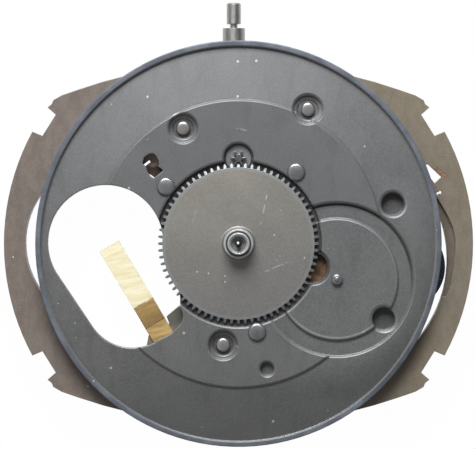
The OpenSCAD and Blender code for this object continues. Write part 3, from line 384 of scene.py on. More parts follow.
# %% Warm grey wheel
FACE_TO = 4.78    # mm, where the blasted face ends and the bare teeth begin
HUB_TO = 1.00     # mm, just outside the pipe
WHEEL_DOME = 4.4  # the light reads the face as falling by this times its radius squared, in metres
DUST_R = 0.065    # mm
PIPE_GAP = (0.76, 0.82)  # mm, painted shade in the gap between the cannon pinion and the pipe
PIPE_MARK = ((-0.17, 0.99), (-0.15, 0.70), 0.035)  # mm, a nick in the pipe: from, to and width
WHEEL_DUST = [
    (-2.64, -1.80), (-1.91, -1.90), (-0.85, -2.06), (-0.85, -2.44), (2.28, 0.55), (4.2, -0.9)]
PALE, DULL = (0.60, 0.60, 0.55), (0.50, 0.49, 0.45)
WHEEL_SCRATCHES = [  # start, end and width in mm, how clearly it shows, and its colour
    ((2.02, 3.85), (1.36, 1.15), 0.055, 0.7, PALE), ((1.55, -1.85), (3.20, -1.15), 0.055, 0.6, PALE),
    ((2.05, -0.25), (2.45, -1.15), 0.050, 0.35, PALE), ((-3.1, 0.7), (-2.7, 2.2), 0.050, 0.4, DULL)]


def wheel_grey(f, sand):
    """The wheel's colour: clouds, blasted grains and the finest dust, with painted shade that makes it
    greyer at the bottom.
    """
    cloud = f.fit(f.noise(2.4, 2, 0.5), 0.3, 0.7)
    lower = f.fit(f.along(1) - f.along(0) * 0.4, 3.5 * MM, -4.5 * MM)
    base = f.mix(cloud, (0.228, 0.214, 0.188), (0.275, 0.259, 0.230))
    # Painted shade: greyer towards the bottom.
    base = f.mix(lower * 0.8, base, (0.225, 0.220, 0.225))
    base = f.mix(f.fit(sand, 0.3, 0.8) * 0.6, base, (0.43, 0.415, 0.375))
    base = f.mix(f.fit(sand, 0.42, 0.22) * 0.4, base, (0.13, 0.125, 0.115))
    return f.mix(f.specks(0.9, 0.05, 0.92) * 0.7, base, (0.72, 0.71, 0.66))


def hour_wheel_finish():
    f = Finish("warm grey wheel")
    r = f.radius()
    sand = f.noise(0.06, 3, 0.75)
    edges = f.soft_edges(0.05)
    teeth = f.fit(r, FACE_TO * MM, (FACE_TO + 0.05) * MM)
    hub = f.fit(r, HUB_TO * MM, (HUB_TO - 0.05) * MM)
    face_edge_highlight = f.ring(r, FACE_TO - 0.10, FACE_TO, 0.03)
    pipe_gap_shade = f.ring(r, *PIPE_GAP, 0.015)
    pipe_mark = f.scratch(*PIPE_MARK) * hub
    tooth_wall_shade = (1 - f.facing_up()) * teeth
    bare = f.mix(f.fit(sand, 0.3, 0.7), (0.60, 0.61, 0.64), (0.74, 0.75, 0.78))
    base = wheel_grey(f, sand)
    for x, y in WHEEL_DUST:
        base = f.mix(f.spot(x, y, DUST_R) * 0.9, base, (0.80, 0.78, 0.74))
    base = f.mix(hub * 0.7, base, bare)
    # A painted highlight along the edge of the blasted face.
    base = f.mix(face_edge_highlight * 0.5, base, (0.33, 0.35, 0.36))
    base = f.mix(teeth, base, (0.30, 0.308, 0.318))
    base = f.mix(pipe_gap_shade * 0.85, base, (0.035, 0.034, 0.033))
    for start, end, width, share, colour in WHEEL_SCRATCHES:
        base = f.mix(f.scratch(start, end, width) * share, base, colour)
    base = f.mix(pipe_mark * 0.8, base, (0.10, 0.10, 0.10))
    base = f.mix(f.worn(edges) * 0.6, base, (0.62, 0.62, 0.60))
    # Painted shade on the walls of the teeth.
    base = f.mix(tooth_wall_shade * 0.85, base, (0.085, 0.085, 0.088))
    dome = f.bump(r * r * -WHEEL_DOME, 1 / MM, edges)
    return f.paint(
        Base_Color=base,
        Metallic=0.7 - hub * 0.35,
        Roughness=f.fit(sand, 0.2, 0.8, 0.40, 0.52) - hub * 0.16,
        Normal=f.bump(sand, 0.004, dome))


dress(hour_wheel_finish(), "hour_wheel")


# %% [markdown]
# ## Turned, brushed and stamped metal
# Arbors, screws, springs and bridges are all bare metal, and they differ in colour, in how fine
# their grain is and in which way it runs. One function with those three choices is enough: the
# grain is noise squeezed in one direction, and corners are a little brighter than flats.

# %% Bare metals
LENGTHWISE = (1, 0.08, 1)  # grain drawn out along Y, as on the stem
ACROSS = (0.08, 1, 1)      # grain drawn out along X, as on the bridges


def bare_metal(name, low, high, grain=0.05, run=(1, 1, 1), rough=(0.28, 0.42), metallic=1.0):
    """Metal between two colours and two roughnesses, with grain mm across that runs one way."""
    f = Finish(name, Metallic=metallic)
    lines = f.noise(grain, 3, 0.6, run)
    cloud = f.noise(1.3, 2, 0.5, shift=4)
    edges = f.soft_edges(0.05)
    bright = tuple(min(1.0, 1.25 * c) for c in high)
    base = f.mix(f.fit(lines * 0.55 + cloud * 0.45, 0.32, 0.66), low, high)
    return f.paint(
        Base_Color=f.mix(f.worn(edges) * 0.5, base, bright),
        Roughness=f.fit(lines, 0.25, 0.75, *rough),
        Normal=f.bump(lines, 0.0025, edges))


turned_steel = bare_metal("turned steel", (0.42, 0.42, 0.40), (0.62, 0.61, 0.58), run=(1, 1, 0.2))
spring_steel = bare_metal("spring steel", (0.40, 0.40, 0.40), (0.58, 0.58, 0.57), 0.06, ACROSS)
stem_steel = bare_metal(
    "stem steel", (0.345, 0.34, 0.32), (0.49, 0.485, 0.46), run=LENGTHWISE, rough=(0.38, 0.52))
dark_steel = bare_metal(
    "dark steel", (0.17, 0.17, 0.175), (0.30, 0.30, 0.305), 0.08, rough=(0.24, 0.36))
bush_steel = bare_metal(
    "bush steel", (0.30, 0.305, 0.31), (0.42, 0.425, 0.43), run=(1, 1, 0.3), rough=(0.32, 0.44))
wheel_brass = bare_metal("wheel brass", (0.62, 0.44, 0.18), (0.78, 0.60, 0.30), rough=(0.30, 0.42))
bridge_nickel = bare_metal(
    "bridge nickel", (0.46, 0.44, 0.38), (0.60, 0.58, 0.52), 0.045, ACROSS, (0.34, 0.46))
magnet_grey = bare_metal(
    "magnet grey", (0.09, 0.09, 0.10), (0.17, 0.17, 0.18), 0.04, rough=(0.5, 0.65))
lead_copper = bare_metal("lead copper", (0.60, 0.30, 0.18), (0.74, 0.42, 0.28), 0.04, LENGTHWISE)
dress(turned_steel, "third_pinion", "intermediate_pinion", "rotor_pinion",
      "clutch", "setting_post", "keyless_posts", "setting_wheel")
dress(spring_steel, "yoke", "setting_lever", "lever_spring", "stator", "coil_core",
      "bridge_screws", "centre_screw", "motor_screws", "keyless_screws", "contact_screw")
dress(dark_steel, "minute_pinion")
dress(bush_steel, "minute_bush")
dress(stem_steel, "stem", "stem_bush")
dress(wheel_brass, "centre_wheel", "minute_wheel", "seconds_wheel", "third_wheel",
      "intermediate_wheel", "centre_bridge", "trimmer_screw")
dress(bridge_nickel, "train_bridge", "keyless_cover")
dress(magnet_grey, "rotor_magnet")
dress(lead_copper, "copper_lead")


# %% [markdown]
# ## The middle of the hour wheel
# Three turned pieces end inside each other there: the cannon pinion that carries the minute
# hand, the tube inside it, and the seconds arbor. Seen from above they are a few rings, and
# painted shade tells them apart, so each ring gets its tone from the radius; the arbor's tip
# also has a painted highlight.

# %% Cannon pinion and seconds arbor
CANNON_EDGE = 0.69  # mm, its outer edge is painted dark as shade in the gap round it
CUP_TO = 0.46       # mm, the radius of the cannon's hollow end, where the tube shows
ARBOR_TIP = 1.70    # mm up, from here the arbor's tip is painted almost black as a dark reflection
GLINT_AT, GLINT_R = (-0.03, 0.05), 0.10  # mm, a painted highlight, the one bright spot on the arbor's tip


def cannon_finish():
    f = Finish("turned cannon", Metallic=0.6)
    r = f.radius()
    lines = f.noise(0.05, 3, 0.6, (1, 1, 0.3))
    edges = f.soft_edges(0.06)
    cannon_gap_shade = f.fit(r, CANNON_EDGE * MM, (CANNON_EDGE + 0.04) * MM)
    hollow = f.fit(r, CUP_TO * MM, (CUP_TO - 0.04) * MM)
    upper = f.fit(f.along(1), -0.30 * MM, 0.25 * MM)
    # Painted shade: the cup is darker at the top and lighter at the bottom.
    cup_shading = f.mix(upper, (0.30, 0.295, 0.285), (0.085, 0.09, 0.095))
    base = f.mix(f.fit(lines, 0.3, 0.7), (0.58, 0.58, 0.585), (0.72, 0.72, 0.72))
    base = f.mix(cannon_gap_shade * 0.85, base, (0.05, 0.048, 0.045))
    base = f.mix(hollow * 0.85, base, cup_shading)
    return f.paint(
        Base_Color=base,
        Roughness=f.fit(lines, 0.25, 0.75, 0.30, 0.42),
        Normal=f.bump(lines, 0.002, edges))


def arbor_finish():
    f = Finish("burnished arbor")
    lines = f.noise(0.05, 3, 0.6, (1, 1, 0.2))
    tip = f.fit(f.along(2), (ARBOR_TIP - 0.1) * MM, ARBOR_TIP * MM)
    base = f.mix(f.fit(lines, 0.3, 0.7), (0.42, 0.42, 0.40), (0.62, 0.61, 0.58))
    # Painted reflection: the tip is almost black, with a painted highlight on it.
    base = f.mix(tip, base, (0.022, 0.022, 0.024))
    base = f.mix(f.spot(*GLINT_AT, GLINT_R) * tip, base, (0.95, 0.95, 0.93))
    return f.paint(
        Base_Color=base,
        Metallic=0.9 - tip * 0.7,
        Roughness=f.fit(lines, 0.25, 0.75, 0.28, 0.42),
        Normal=f.bump(lines, 0.002, f.soft_edges(0.05)))


dress(cannon_finish(), "cannon_pinion", "centre_tube")
dress(arbor_finish(), "seconds_arbor")


# %% [markdown]
# ## The moulded frame
# The frame shows as two wings beyond the plate. It is a brown, slightly glossy surface with a
# bloom of olive on the right and grey on the left, streaked along its length, and its cut
# corners are darker and bluish. The change from left to right follows mostly the X coordinate.
# Small things show through the plate's openings, and spots of their colours stand for them; one spot is
# painted light on the keyhole's shadowed top.

# %% Brown frame
WING_STEP = -1.45  # mm up, faces below this lie in the wings' shade
OUTER_R = 14.3     # mm, from here on a worn corner is one of the cut ends
APERTURE_SPOT = (*APERTURE_AT, 1.6, 0.8)  # place and size in mm, and how soft
SPOTS = [  # the same, then how clearly it shows and its colour
    # The first darkens the keyhole's lower part, the second is painted light on its shadowed top, and the
    # third is a greener grey beside the contact's root.
    (-5.20, 4.55, 0.9, 0.6, 1.0, (0.065, 0.038, 0.032)),
    (-5.45, 5.50, 0.7, 0.6, 1.0, (0.50, 0.38, 0.33)),
    (-4.20, -4.60, 0.9, 0.5, 0.8, (0.105, 0.108, 0.090))]


def frame_finish():
    f = Finish("brown frame", Metallic=0.25)
    streak = f.noise(0.5, 3, 0.6, (1, 0.5, 1))
    sand = f.noise(0.10, 3, 0.65)
    cloud = f.noise(2.8, 2, 0.5, shift=5)
    side = f.fit(f.along(0) + f.along(1) * 0.2, -6 * MM, 6 * MM)
    edges = f.soft_edges(0.06)
    up = f.facing_up()
    low = f.fit(f.along(2), WING_STEP * MM, (WING_STEP - 0.15) * MM) * up
    outside = f.fit(f.radius(), OUTER_R * MM, (OUTER_R + 0.2) * MM)
    corner = f.mix(outside, (0.30, 0.27, 0.22), (0.15, 0.17, 0.22))
    patches = f.fit(f.noise(0.6, 2, 0.6), 0.35, 0.65)
    gold = f.mix(patches, (0.085, 0.050, 0.030), (0.230, 0.135, 0.060))
    base = f.mix(side, (0.205, 0.160, 0.140), (0.235, 0.195, 0.135))
    base = f.mix(f.fit(cloud, 0.3, 0.7) * 0.4, base, (0.20, 0.175, 0.150))
    base = f.mix(f.fit(streak, 0.35, 0.7) * 0.22, base, (0.29, 0.25, 0.20))
    base = f.mix(f.fit(sand, 0.45, 0.75) * 0.35, base, (0.36, 0.31, 0.25))
    base = f.mix(f.fit(sand, 0.48, 0.25) * 0.35, base, (0.13, 0.105, 0.090))
    base = f.mix(low * 0.4, base, (0.145, 0.105, 0.085))
    # The spot under the aperture stands for the brass seen through it and is darkened as painted shade as
    # well.
    base = f.mix(f.spot(*APERTURE_SPOT) * up, base, gold)
    for x, y, size, soft, share, colour in SPOTS:
        base = f.mix(f.spot(x, y, size, soft) * up * share, base, colour)
    base = f.mix(f.worn(edges) * 0.6, base, corner)
    base = f.mix(f.specks(1.2, 0.075, 0.93), base, (0.80, 0.74, 0.64))
    return f.paint(
        Base_Color=base,
        Roughness=f.fit(streak, 0.3, 0.7, 0.38, 0.55),
        Normal=f.bump(streak * 0.6 + sand * 0.4, 0.006, edges))


dress(frame_finish(), "frame")


# %% [markdown]
# ## The contact spring
# The spring under the cell is gilt, and its tones are painted light and shade. Its long blade is
# finely scratched and painted pale, a painted reflection of the bright sky; the slope between its
# bends is painted a deep brown gold as shade, and the tab at its root is between the two. Distance
# along the blade decides which.

# %% Gilt contact
CONTACT_ROOT = (-4.81, -5.97)       # mm, where the blade leaves the frame
CONTACT_TURN = math.radians(120.9)  # which way the blade runs from there
SECOND_BEND = 1.06  # mm along the blade, from the flat tab to the gold slope
FIRST_BEND = 2.46   # mm along the blade, from the gold slope to the pale part
THIRD_BEND = 6.28   # mm along the blade, where the tip turns down to the cell
BLADE_LEAN = 0.12   # how much the light reads the blade as leaning up the picture


def contact_finish():
    f = Finish("gilt contact")
    way = (math.cos(CONTACT_TURN), math.sin(CONTACT_TURN), 0)
    start = CONTACT_ROOT[0] * way[0] + CONTACT_ROOT[1] * way[1]
    along = f.dot(f.where, way) - start * MM
    ragged = along + (f.noise(0.5, 2, 0.5) - 0.5) * 0.12 * MM
    # Painted reflection: past the first bend the blade is pale cream and hardly metallic.
    pale = f.fit(ragged, (FIRST_BEND - 0.02) * MM, (FIRST_BEND + 0.12) * MM)
    root = f.fit(along, (SECOND_BEND - 0.02) * MM, (SECOND_BEND - 0.10) * MM)
    crease_shade = f.fit((along - SECOND_BEND * MM).size(), 0.12 * MM, 0.02 * MM)
    slope_shade = f.fit(along, (FIRST_BEND - 0.16) * MM, (SECOND_BEND + 0.09) * MM)
    tip_shade = f.fit(along, THIRD_BEND * MM, (THIRD_BEND + 0.06) * MM)
    scratch = f.noise(0.20, 3, 0.6, (0.12, 1.0, 1), turn=math.radians(12))
    rub = f.noise(0.16, 2, 0.5, (0.10, 1.0, 1), 3, math.radians(48))
    # Painted shade: the gold slope is dark, darkest near the second bend.
    gold = f.mix(f.fit(scratch, 0.3, 0.7), (0.115, 0.068, 0.021), (0.195, 0.128, 0.045))
    gold = f.mix(slope_shade * 0.65, gold, (0.072, 0.041, 0.012))
    tab = f.mix(f.fit(scratch, 0.3, 0.7), (0.38, 0.25, 0.10), (0.49, 0.335, 0.14))
    # Painted shade along the crease at the second bend.
    gold = f.mix(crease_shade * 0.25, f.mix(root, gold, tab), (0.090, 0.052, 0.018))
    reflection_and_marks = f.mix(f.fit(scratch, 0.35, 0.65), (0.92, 0.80, 0.50), (1.0, 0.93, 0.67))
    reflection_and_marks = f.mix(f.fit(rub, 0.60, 0.72) * 0.35, reflection_and_marks, (0.74, 0.60, 0.34))
    # Painted shade on the tip that turns down to the cell.
    reflection_and_marks = f.mix(tip_shade, reflection_and_marks, (0.66, 0.58, 0.38))
    reflection_and_marks = f.mix(f.specks(0.30, 0.035, 0.85) * 0.5, reflection_and_marks, (0.60, 0.49, 0.25))
    lean = f.bump(f.along(1) * -BLADE_LEAN, 1 / MM, f.soft_edges(0.05))
    return f.paint(
        Base_Color=f.mix(pale, gold, reflection_and_marks),
        Metallic=0.75 - pale * 0.70,
        Roughness=f.fit(scratch, 0.3, 0.7, 0.32, 0.46),
        Normal=f.bump(scratch, 0.003, lean))


dress(contact_finish(), "cell_contact", "side_contact")


# %% [markdown]
# ## Moulded and electric parts
# Plastic, board varnish, glaze and ruby aren't metals, so their colour comes from under a
# clear surface. A second function gives them a base colour with faint clouds, fine tooth and a
# gloss of their own. Only the glaze has grains in it, so it is made by itself.

# %% Plastics, board and ruby
def moulded(name, low, high, grain=0.08, rough=(0.35, 0.5), tooth=0.002):
    """A clear-topped material between two colours, with grain and tooth in mm."""
    f = Finish(name)
    fine = f.noise(grain, 3, 0.6)
    cloud = f.noise(0.9, 2, 0.5, shift=9)
    edges = f.soft_edges(0.05)
    bright = tuple(min(1.0, 1.6 * c + 0.02) for c in high)
    base = f.mix(f.fit(fine * 0.5 + cloud * 0.5, 0.3, 0.68), low, high)
    return f.paint(
        Base_Color=f.mix(f.worn(edges) * 0.3, base, bright),
        Roughness=f.fit(fine, 0.3, 0.7, *rough),
        Normal=f.bump(fine, tooth, edges))


black_moulding = moulded("black moulding", (0.018, 0.018, 0.020), (0.040, 0.040, 0.044))
board_varnish = moulded(
    "board varnish", (0.020, 0.085, 0.045), (0.045, 0.150, 0.080), 0.12, (0.22, 0.34))
ruby = moulded("ruby", (0.42, 0.02, 0.09), (0.62, 0.05, 0.16), 0.1, (0.08, 0.16), 0.0004)
dress(black_moulding, "coil_flanges", "chip")
dress(board_varnish, "circuit_board")
dress(ruby, "bridge_jewels", "plate_jewels")


def trimmer_finish():
    """Dark glaze with tiny pale grains, as the adjuster's body has under the right wing."""
    f = Finish("trimmer glaze")
    fine = f.noise(0.07, 3, 0.6)
    edges = f.soft_edges(0.06)
    base = f.mix(f.fit(fine, 0.3, 0.7), (0.016, 0.014, 0.026), (0.045, 0.040, 0.066))
    base = f.mix(f.specks(0.42, 0.035, 0.70), base, (0.75, 0.76, 0.80))
    return f.paint(
        Base_Color=base,
        Roughness=f.fit(fine, 0.3, 0.7, 0.18, 0.30),
        Normal=f.bump(fine, 0.002, edges))


dress(trimmer_finish(), "trimmer")


# %% [markdown]
# ## Turning by hand
# The heads of rivets and posts are turned, so each starts as a cylinder of its real width. Its
# top face is inset and raised a few times, which draws the profile of the head from outside in,
# like the passes of a tool. One head is made and copied to the other places. A few small
# functions do what every piece needs.

# %% Tools for turned pieces
SMOOTH_UNDER = math.radians(35)  # faces that meet at less than this look like one round surface


def alone(piece):
    """Only this piece is selected, and it is the active one."""
    bpy.ops.object.select_all(action="DESELECT")
    piece.select_set(True)
    bpy.context.view_layer.objects.active = piece


def pick_faces(piece, test):
    """In edit mode, selects the faces whose centre and normal pass the test."""
    shape = bmesh.from_edit_mesh(piece.data)
    for face in shape.faces:
        face.select = test(face.calc_center_median(), face.normal)
    shape.select_flush_mode()
    bmesh.update_edit_mesh(piece.data)


def pass_by_pass(piece, end, passes):
    """Insets the end face by each first number in mm, then moves it by each second one along Z."""
    bpy.ops.object.mode_set(mode="EDIT")
    bpy.ops.mesh.select_mode(type="FACE")
    pick_faces(piece, lambda centre, normal: normal.z * end > 0.9)
    for inward, outward in passes:
        if inward:
            bpy.ops.mesh.inset(thickness=inward * MM)
        else:
            bpy.ops.mesh.extrude_region()
        bpy.ops.transform.translate(value=(0, 0, outward * MM * end))
    bpy.ops.object.mode_set(mode="OBJECT")


def rod(name, radius, low, high, at=(0, 0), sides=64):
    """A cylinder between two heights, in mm."""
    bpy.ops.object.select_all(action="DESELECT")
    bpy.ops.mesh.primitive_cylinder_add(
        vertices=sides, radius=radius * MM, depth=(high - low) * MM,
        location=(at[0] * MM, at[1] * MM, (low + high) / 2 * MM))
    piece = bpy.context.active_object
    piece.name = name
    return piece


def round_profile(width, rise, steps=7):
    """Passes that round a corner width mm in and rise mm up, as a quarter of an ellipse."""
    turns = [math.pi / 2 * i / steps for i in range(steps + 1)]
    return [
        (width * (math.cos(a) - math.cos(b)), rise * (math.sin(b) - math.sin(a)))
        for a, b in zip(turns, turns[1:])]


def finish_off(piece, body, finish, stands_for=()):
    """Applies the place, smooths the round sides, and gives the piece its body and finish."""
    alone(piece)
    bpy.ops.object.transform_apply(location=True, rotation=True, scale=True)
    bpy.ops.object.shade_smooth_by_angle(angle=SMOOTH_UNDER)
    piece.data.materials.clear()
    piece.data.materials.append(finish)
    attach(piece, body)
    if stands_for:
        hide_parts(*stands_for)
    print(piece.name, "faces:", len(piece.data.polygons))


def join(first, others):
    """The others become part of the first piece."""
    alone(first)
    for piece in others:
        piece.select_set(True)
    bpy.ops.object.join()


def copy_to(first, places):
    """Copies a piece that stands at the first of some places in mm to the others, and joins them."""
    made = []
    for x, y in places[1:]:
        other = first.copy()
        other.data = first.data.copy()
        bpy.context.collection.objects.link(other)
        move = Vector((x - places[0][0], y - places[0][1], 0))
        other.location = first.location + move * MM
        made.append(other)
    join(first, made)


# %% [markdown]
# ## Rivets
# Three pins rise in counterbores of the plate. A rounded corner and an almost flat middle give
# each of them the small bright oval that a polished pin shows, and the foot is rounded as well.

# %% Rivets
RIVET_R = 0.45     # mm
RIVET_HEAD = 0.14  # mm, how high the passes raise the head over its cylinder
RIVET_FOOT = 0.10  # mm, how far the cylinder starts above the rivet's lower end
rivet_low, rivet_high = (corner.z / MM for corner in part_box("plate_rivets"))
rivet = rod("rivet_heads", RIVET_R, rivet_low + RIVET_FOOT, rivet_high - RIVET_HEAD, RIVETS[0])
pass_by_pass(rivet, 1, round_profile(0.17, 0.13) + [(0.05, 0.008), (0.08, 0.002)])
pass_by_pass(rivet, -1, round_profile(0.10, 0.08))
copy_to(rivet, RIVETS)
rivet_steel = bare_metal(
    "rivet steel", (0.40, 0.385, 0.375), (0.47, 0.455, 0.445), 0.5, rough=(0.28, 0.34), metallic=0.8)
finish_off(rivet, "movement", rivet_steel, ["plate_rivets"])


# %% [markdown]
# ## Wheel guards
# Three posts with wide caps stand round the hour wheel. A cap is wider than its shank, so it is
# a cylinder of its own with a broad dome, joined to the shank before the pair is copied.

# %% Wheel guard posts
GUARDS = [(-4.62, 3.65), (3.67, 4.57), (1.18, -5.62)]
GUARD_R, SHANK_R = 0.58, 0.30  # mm
CAP_FROM = -0.18               # mm up, the underside of the cap
CAP_DOME = 0.17                # mm, left over the cap's cylinder for its dome
guard_low, guard_high = (corner.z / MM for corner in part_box("wheel_guard_posts"))
guard = rod("guard_posts", SHANK_R, guard_low, CAP_FROM, GUARDS[0])
pass_by_pass(guard, 1, [(0.02, 0.0)])
guard_cap = rod("guard_cap", GUARD_R, CAP_FROM, guard_high - CAP_DOME, GUARDS[0])
pass_by_pass(guard_cap, 1, round_profile(0.21, 0.15) + [(0.08, 0.010), (0.14, 0.006)])
join(guard, [guard_cap])
copy_to(guard, GUARDS)
guard_steel = bare_metal(
    "guard steel", (0.265, 0.27, 0.28), (0.32, 0.325, 0.335), 0.5, rough=(0.26, 0.33), metallic=0.75)
finish_off(guard, "movement", guard_steel, ["wheel_guard_posts"])


# %% [markdown]
# ## The post in the groove's island
# A single small post stands in the middle of the island. It has a round shoulder with a thin
# pin on top, so its last passes go straight up between two that go in.

# %% Groove post
POST_R = 0.36     # mm
POST_HEAD = 0.20  # mm, left over the cylinder for the shoulder and the pin
post_low, post_high = (corner.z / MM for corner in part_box("groove_post"))
post = rod("groove_post_turned", POST_R, post_low, post_high - POST_HEAD, GROOVE_AT)
pass_by_pass(post, 1, round_profile(0.17, 0.12) + [(0.05, 0.0), (0.0, 0.05), (0.05, 0.02)])
finish_off(post, "movement", guard_steel, ["groove_post"])


# %% [markdown]
# ## The coil
# The motor's coil is some thousands of turns of enamelled copper, thinner than a hair. Turns of
# a wire that thin can't be told apart, so fewer and thicker ones stand for them: one turn is a
# ring of wire, and it is repeated along the core with an Array modifier. A plain rod inside
# closes the view between the turns.

# %% Wound copper
coil_low, coil_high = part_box("coil_winding")
WIRE = 0.085  # mm, how thick the wire is drawn
coil_long = (coil_high.x - coil_low.x) / MM
turns = int(coil_long / WIRE)
coil_r = (coil_high.z - coil_low.z) / 2 / MM
coil_mid = (coil_low + coil_high) / 2
bpy.ops.object.select_all(action="DESELECT")
bpy.ops.mesh.primitive_torus_add(
    major_radius=(coil_r - WIRE / 2) * MM, minor_radius=WIRE / 2 * MM,
    major_segments=40, minor_segments=8,
    location=(coil_low.x + WIRE / 2 * MM, coil_mid.y, coil_mid.z), rotation=(0, math.pi / 2, 0))
winding = bpy.context.active_object
winding.name = "coil_turns"
bpy.ops.object.transform_apply(location=True, rotation=True, scale=True)
row = winding.modifiers.new("row of turns", "ARRAY")
row.count = turns
row.use_relative_offset = False
row.use_constant_offset = True
row.constant_offset_displace = (WIRE * MM, 0, 0)
bpy.ops.object.modifier_apply(modifier=row.name)
fill = rod("coil_core_fill", coil_r - WIRE * 0.6, 0, coil_long, sides=40)
fill.rotation_euler = (0, math.pi / 2, 0)
fill.location = coil_mid
join(winding, [fill])
coil_enamel = bare_metal("coil enamel", (0.50, 0.17, 0.06), (0.68, 0.28, 0.11), rough=(0.24, 0.36))
finish_off(winding, "movement", coil_enamel, ["coil_winding"])
print("turns of wire:", turns)


# %% [markdown]
# ## The quartz can
# The crystal sits in a drawn can with a rounded nose and a rolled seam at its glass end. The
# can starts as a cylinder on end. Its nose is rounded pass by pass, the seam is a step out and
# back in again, and then the can is laid on its side.

# %% Quartz can
CAN_R = 0.75   # mm, over the seam
SEAM = 0.03    # mm, how far the seam stands out
NOSE = 0.25    # mm
BARREL = 5.50  # mm, from the nose to the seam
can_low, can_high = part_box("quartz_can")
can_y = (can_low.y + can_high.y) / 2
can = rod("quartz_can_drawn", CAN_R - SEAM, 0, BARREL)
pass_by_pass(can, -1, round_profile(NOSE, NOSE))
pass_by_pass(can, 1, [(0, 0.06), (-SEAM, 0.02), (0, 0.12), (SEAM, 0.02), (0.10, 0), (0, -0.05)])
can.rotation_euler = (0, math.pi / 2, 0)
can.location = (can_low.x + (NOSE + BARREL / 2) * MM, can_y, can_low.z + CAN_R * MM)
can_nickel = bare_metal(
    "can nickel", (0.40, 0.405, 0.41), (0.50, 0.505, 0.51), 0.12, ACROSS, (0.28, 0.36))
finish_off(can, "movement", can_nickel, ["quartz_can"])


# %% [markdown]
# ## The glob over the chip
# The circuit's chip lies under a drop of black resin. A drop is a low dome with a soft foot,
# so it is a flat cylinder rounded almost to its middle. The board faces down in the movement,
# and so does the drop.

# %% Resin drop
DROP_R, DROP_FOOT = 1.35, 0.06  # mm
chip_low, chip_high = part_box("chip")
chip_at = ((chip_low.x + chip_high.x) / 2 / MM, (chip_low.y + chip_high.y) / 2 / MM)
chip_top = chip_high.z / MM
drop = rod("resin_drop", DROP_R, chip_top - DROP_FOOT, chip_top, chip_at, 72)
pass_by_pass(drop, -1, round_profile(0.95, 0.35, 9) + [(0.15, 0.008), (0.15, 0.002)])
resin = moulded("resin", (0.012, 0.012, 0.014), (0.028, 0.028, 0.032), 0.25, (0.16, 0.30), 0.004)
finish_off(drop, "movement", resin, ["chip"])


# %% [markdown]
# ## Solder
# Wires and leads are joined to the board by beads of solder, which draw themselves round as
# they set. A bead is a very short cylinder rounded over, and it stands a little into the board.

# %% Solder beads
BEAD_R = 0.26                      # mm
BEAD_SUNK, BEAD_FOOT = 0.03, 0.02  # mm, how far it stands in the board, and straight out of it
BEADS = [
    (11.35, 3.35), (11.35, 3.95), (5.35, 2.10), (8.60, 1.80), (7.60, -2.20), (6.10, -2.30),
    (11.90, 1.60)]
board_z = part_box("circuit_board")[0].z / MM
bead = rod("solder_beads", BEAD_R, board_z - BEAD_FOOT, board_z + BEAD_SUNK, BEADS[0], 28)
pass_by_pass(bead, -1, round_profile(0.22, 0.16, 5))
copy_to(bead, BEADS)
solder = bare_metal("solder", (0.48, 0.48, 0.47), (0.66, 0.66, 0.65), 0.12, rough=(0.22, 0.40))
finish_off(bead, "movement", solder)


# %% [markdown]
# ## Floor, light and camera
# The movement lies on its back on white paper. For rays that come straight from the camera, or
# by way of a mirror or glass, the paper glows almost wholly by itself, so that it reads as white
# and keeps only a trace of shadow. For all other rays it is lit by the lamps like the movement.
# Seen from below it lets light and view through.

# %% White paper
PAPER_GLOW = 0.985  # how much of what the camera sees of the paper is its own glow
PAPER_WIDE = 1.2    # metres


def paper_finish():
    f = Finish("white paper", Roughness=0.9)
    f.shader.inputs["Specular IOR Level"].default_value = 0.1
    tone = f.fit(f.noise(40, 2, 0.5), 0.3, 0.7)
    f.paint(Base_Color=f.mix(tone, (0.90, 0.90, 0.90), (0.93, 0.93, 0.93)))
    sees = f.node("ShaderNodeLightPath", out="Is Camera Ray")
    mirror = f.node("ShaderNodeLightPath", out="Is Glossy Ray")
    through = f.node("ShaderNodeLightPath", out="Is Transmission Ray")
    glow = f.node("ShaderNodeEmission", None, {"Color": (1, 1, 1, 1), "Strength": 1.0}, "Emission")
    lit = Wire(f, f.shader.outputs["BSDF"])
    share = (sees + mirror + through) * PAPER_GLOW
    both = f.node("ShaderNodeMixShader", None, {0: share, 1: lit, 2: glow}, "Shader")
    clear = f.node("ShaderNodeBsdfTransparent", None, {"Color": (1, 1, 1, 1)}, "BSDF")
    below = f.node("ShaderNodeNewGeometry", out="Backfacing")
    sheet = f.node("ShaderNodeMixShader", None, {0: below, 1: both, 2: clear}, "Shader")
    f.tree.links.new(sheet.socket, f.tree.nodes["Material Output"].inputs["Surface"])
    return f.material


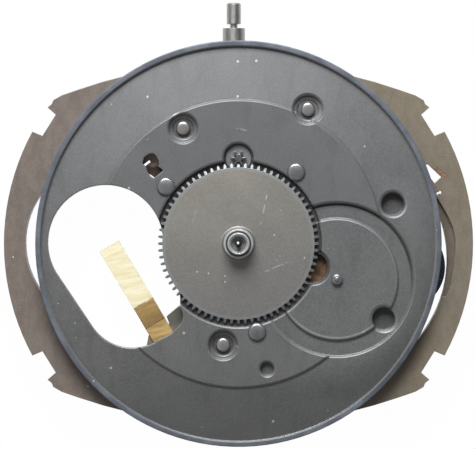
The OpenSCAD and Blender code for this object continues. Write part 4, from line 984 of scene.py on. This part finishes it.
bpy.ops.object.select_all(action="DESELECT")
bpy.ops.mesh.primitive_plane_add(size=PAPER_WIDE, location=(0, 0, cad_box[0].z - 0.02 * MM))
paper = bpy.context.active_object
paper.name = "paper"
paper.data.materials.append(paper_finish())
print("paper at metres up:", round(paper.location.z, 5))


# %% [markdown]
# A window's soft light comes from the top of the picture, as the bright lower edges of holes
# show. A wide weak lamp on the other side and a pale sky fill the shadows, and one more lamp
# below is for looking at the back.

# %% Lamps and sky
SKY_COLOUR, SKY_STRENGTH = (0.95, 0.97, 1.0, 1), 0.17


def lamp(name, watts, size, at, colour=(1, 1, 1)):
    """A square soft box, its size and place in metres, facing the movement."""
    light = bpy.data.lights.new(name, "AREA")
    light.energy, light.size, light.color = watts, size, colour
    box = bpy.data.objects.new(name, light)
    box.location = at
    box.rotation_euler = (-Vector(at)).to_track_quat("-Z", "Y").to_euler()
    bpy.context.collection.objects.link(box)


lamp("window", 0.60, 0.13, (-0.02, 0.15, 0.16), (0.97, 0.99, 1.0))
lamp("room", 0.10, 0.30, (-0.20, -0.10, 0.26), (1.0, 0.98, 0.95))
lamp("below", 0.38, 0.30, (0.05, 0.05, -0.30))
world = bpy.context.scene.world or bpy.data.worlds.new("room")
bpy.context.scene.world = world
world.use_nodes = True
sky = world.node_tree.nodes["Background"]
sky.inputs["Color"].default_value = SKY_COLOUR
sky.inputs["Strength"].default_value = SKY_STRENGTH


# %% [markdown]
# The photograph looks straight down on the plate. A long lens from far away does so too, and it
# keeps the wings, which lie lower than the rim, at their true size beside it.

# %% Camera
VIEW_WIDTH = 30.32           # mm across the picture
VIEW_CENTRE = (-0.03, 1.22)  # mm, the picture's middle
LENS = 400                   # mm
camera = bpy.data.cameras.new("camera")
camera.lens = LENS
camera.clip_start, camera.clip_end = 0.01, 10
eye = bpy.data.objects.new("camera", camera)
bpy.context.collection.objects.link(eye)
away = VIEW_WIDTH * MM * LENS / camera.sensor_width
eye.location = (VIEW_CENTRE[0] * MM, VIEW_CENTRE[1] * MM, away)
bpy.context.scene.camera = eye
bpy.context.scene.view_settings.view_transform = "Standard"
print("camera height in metres:", round(away, 4))
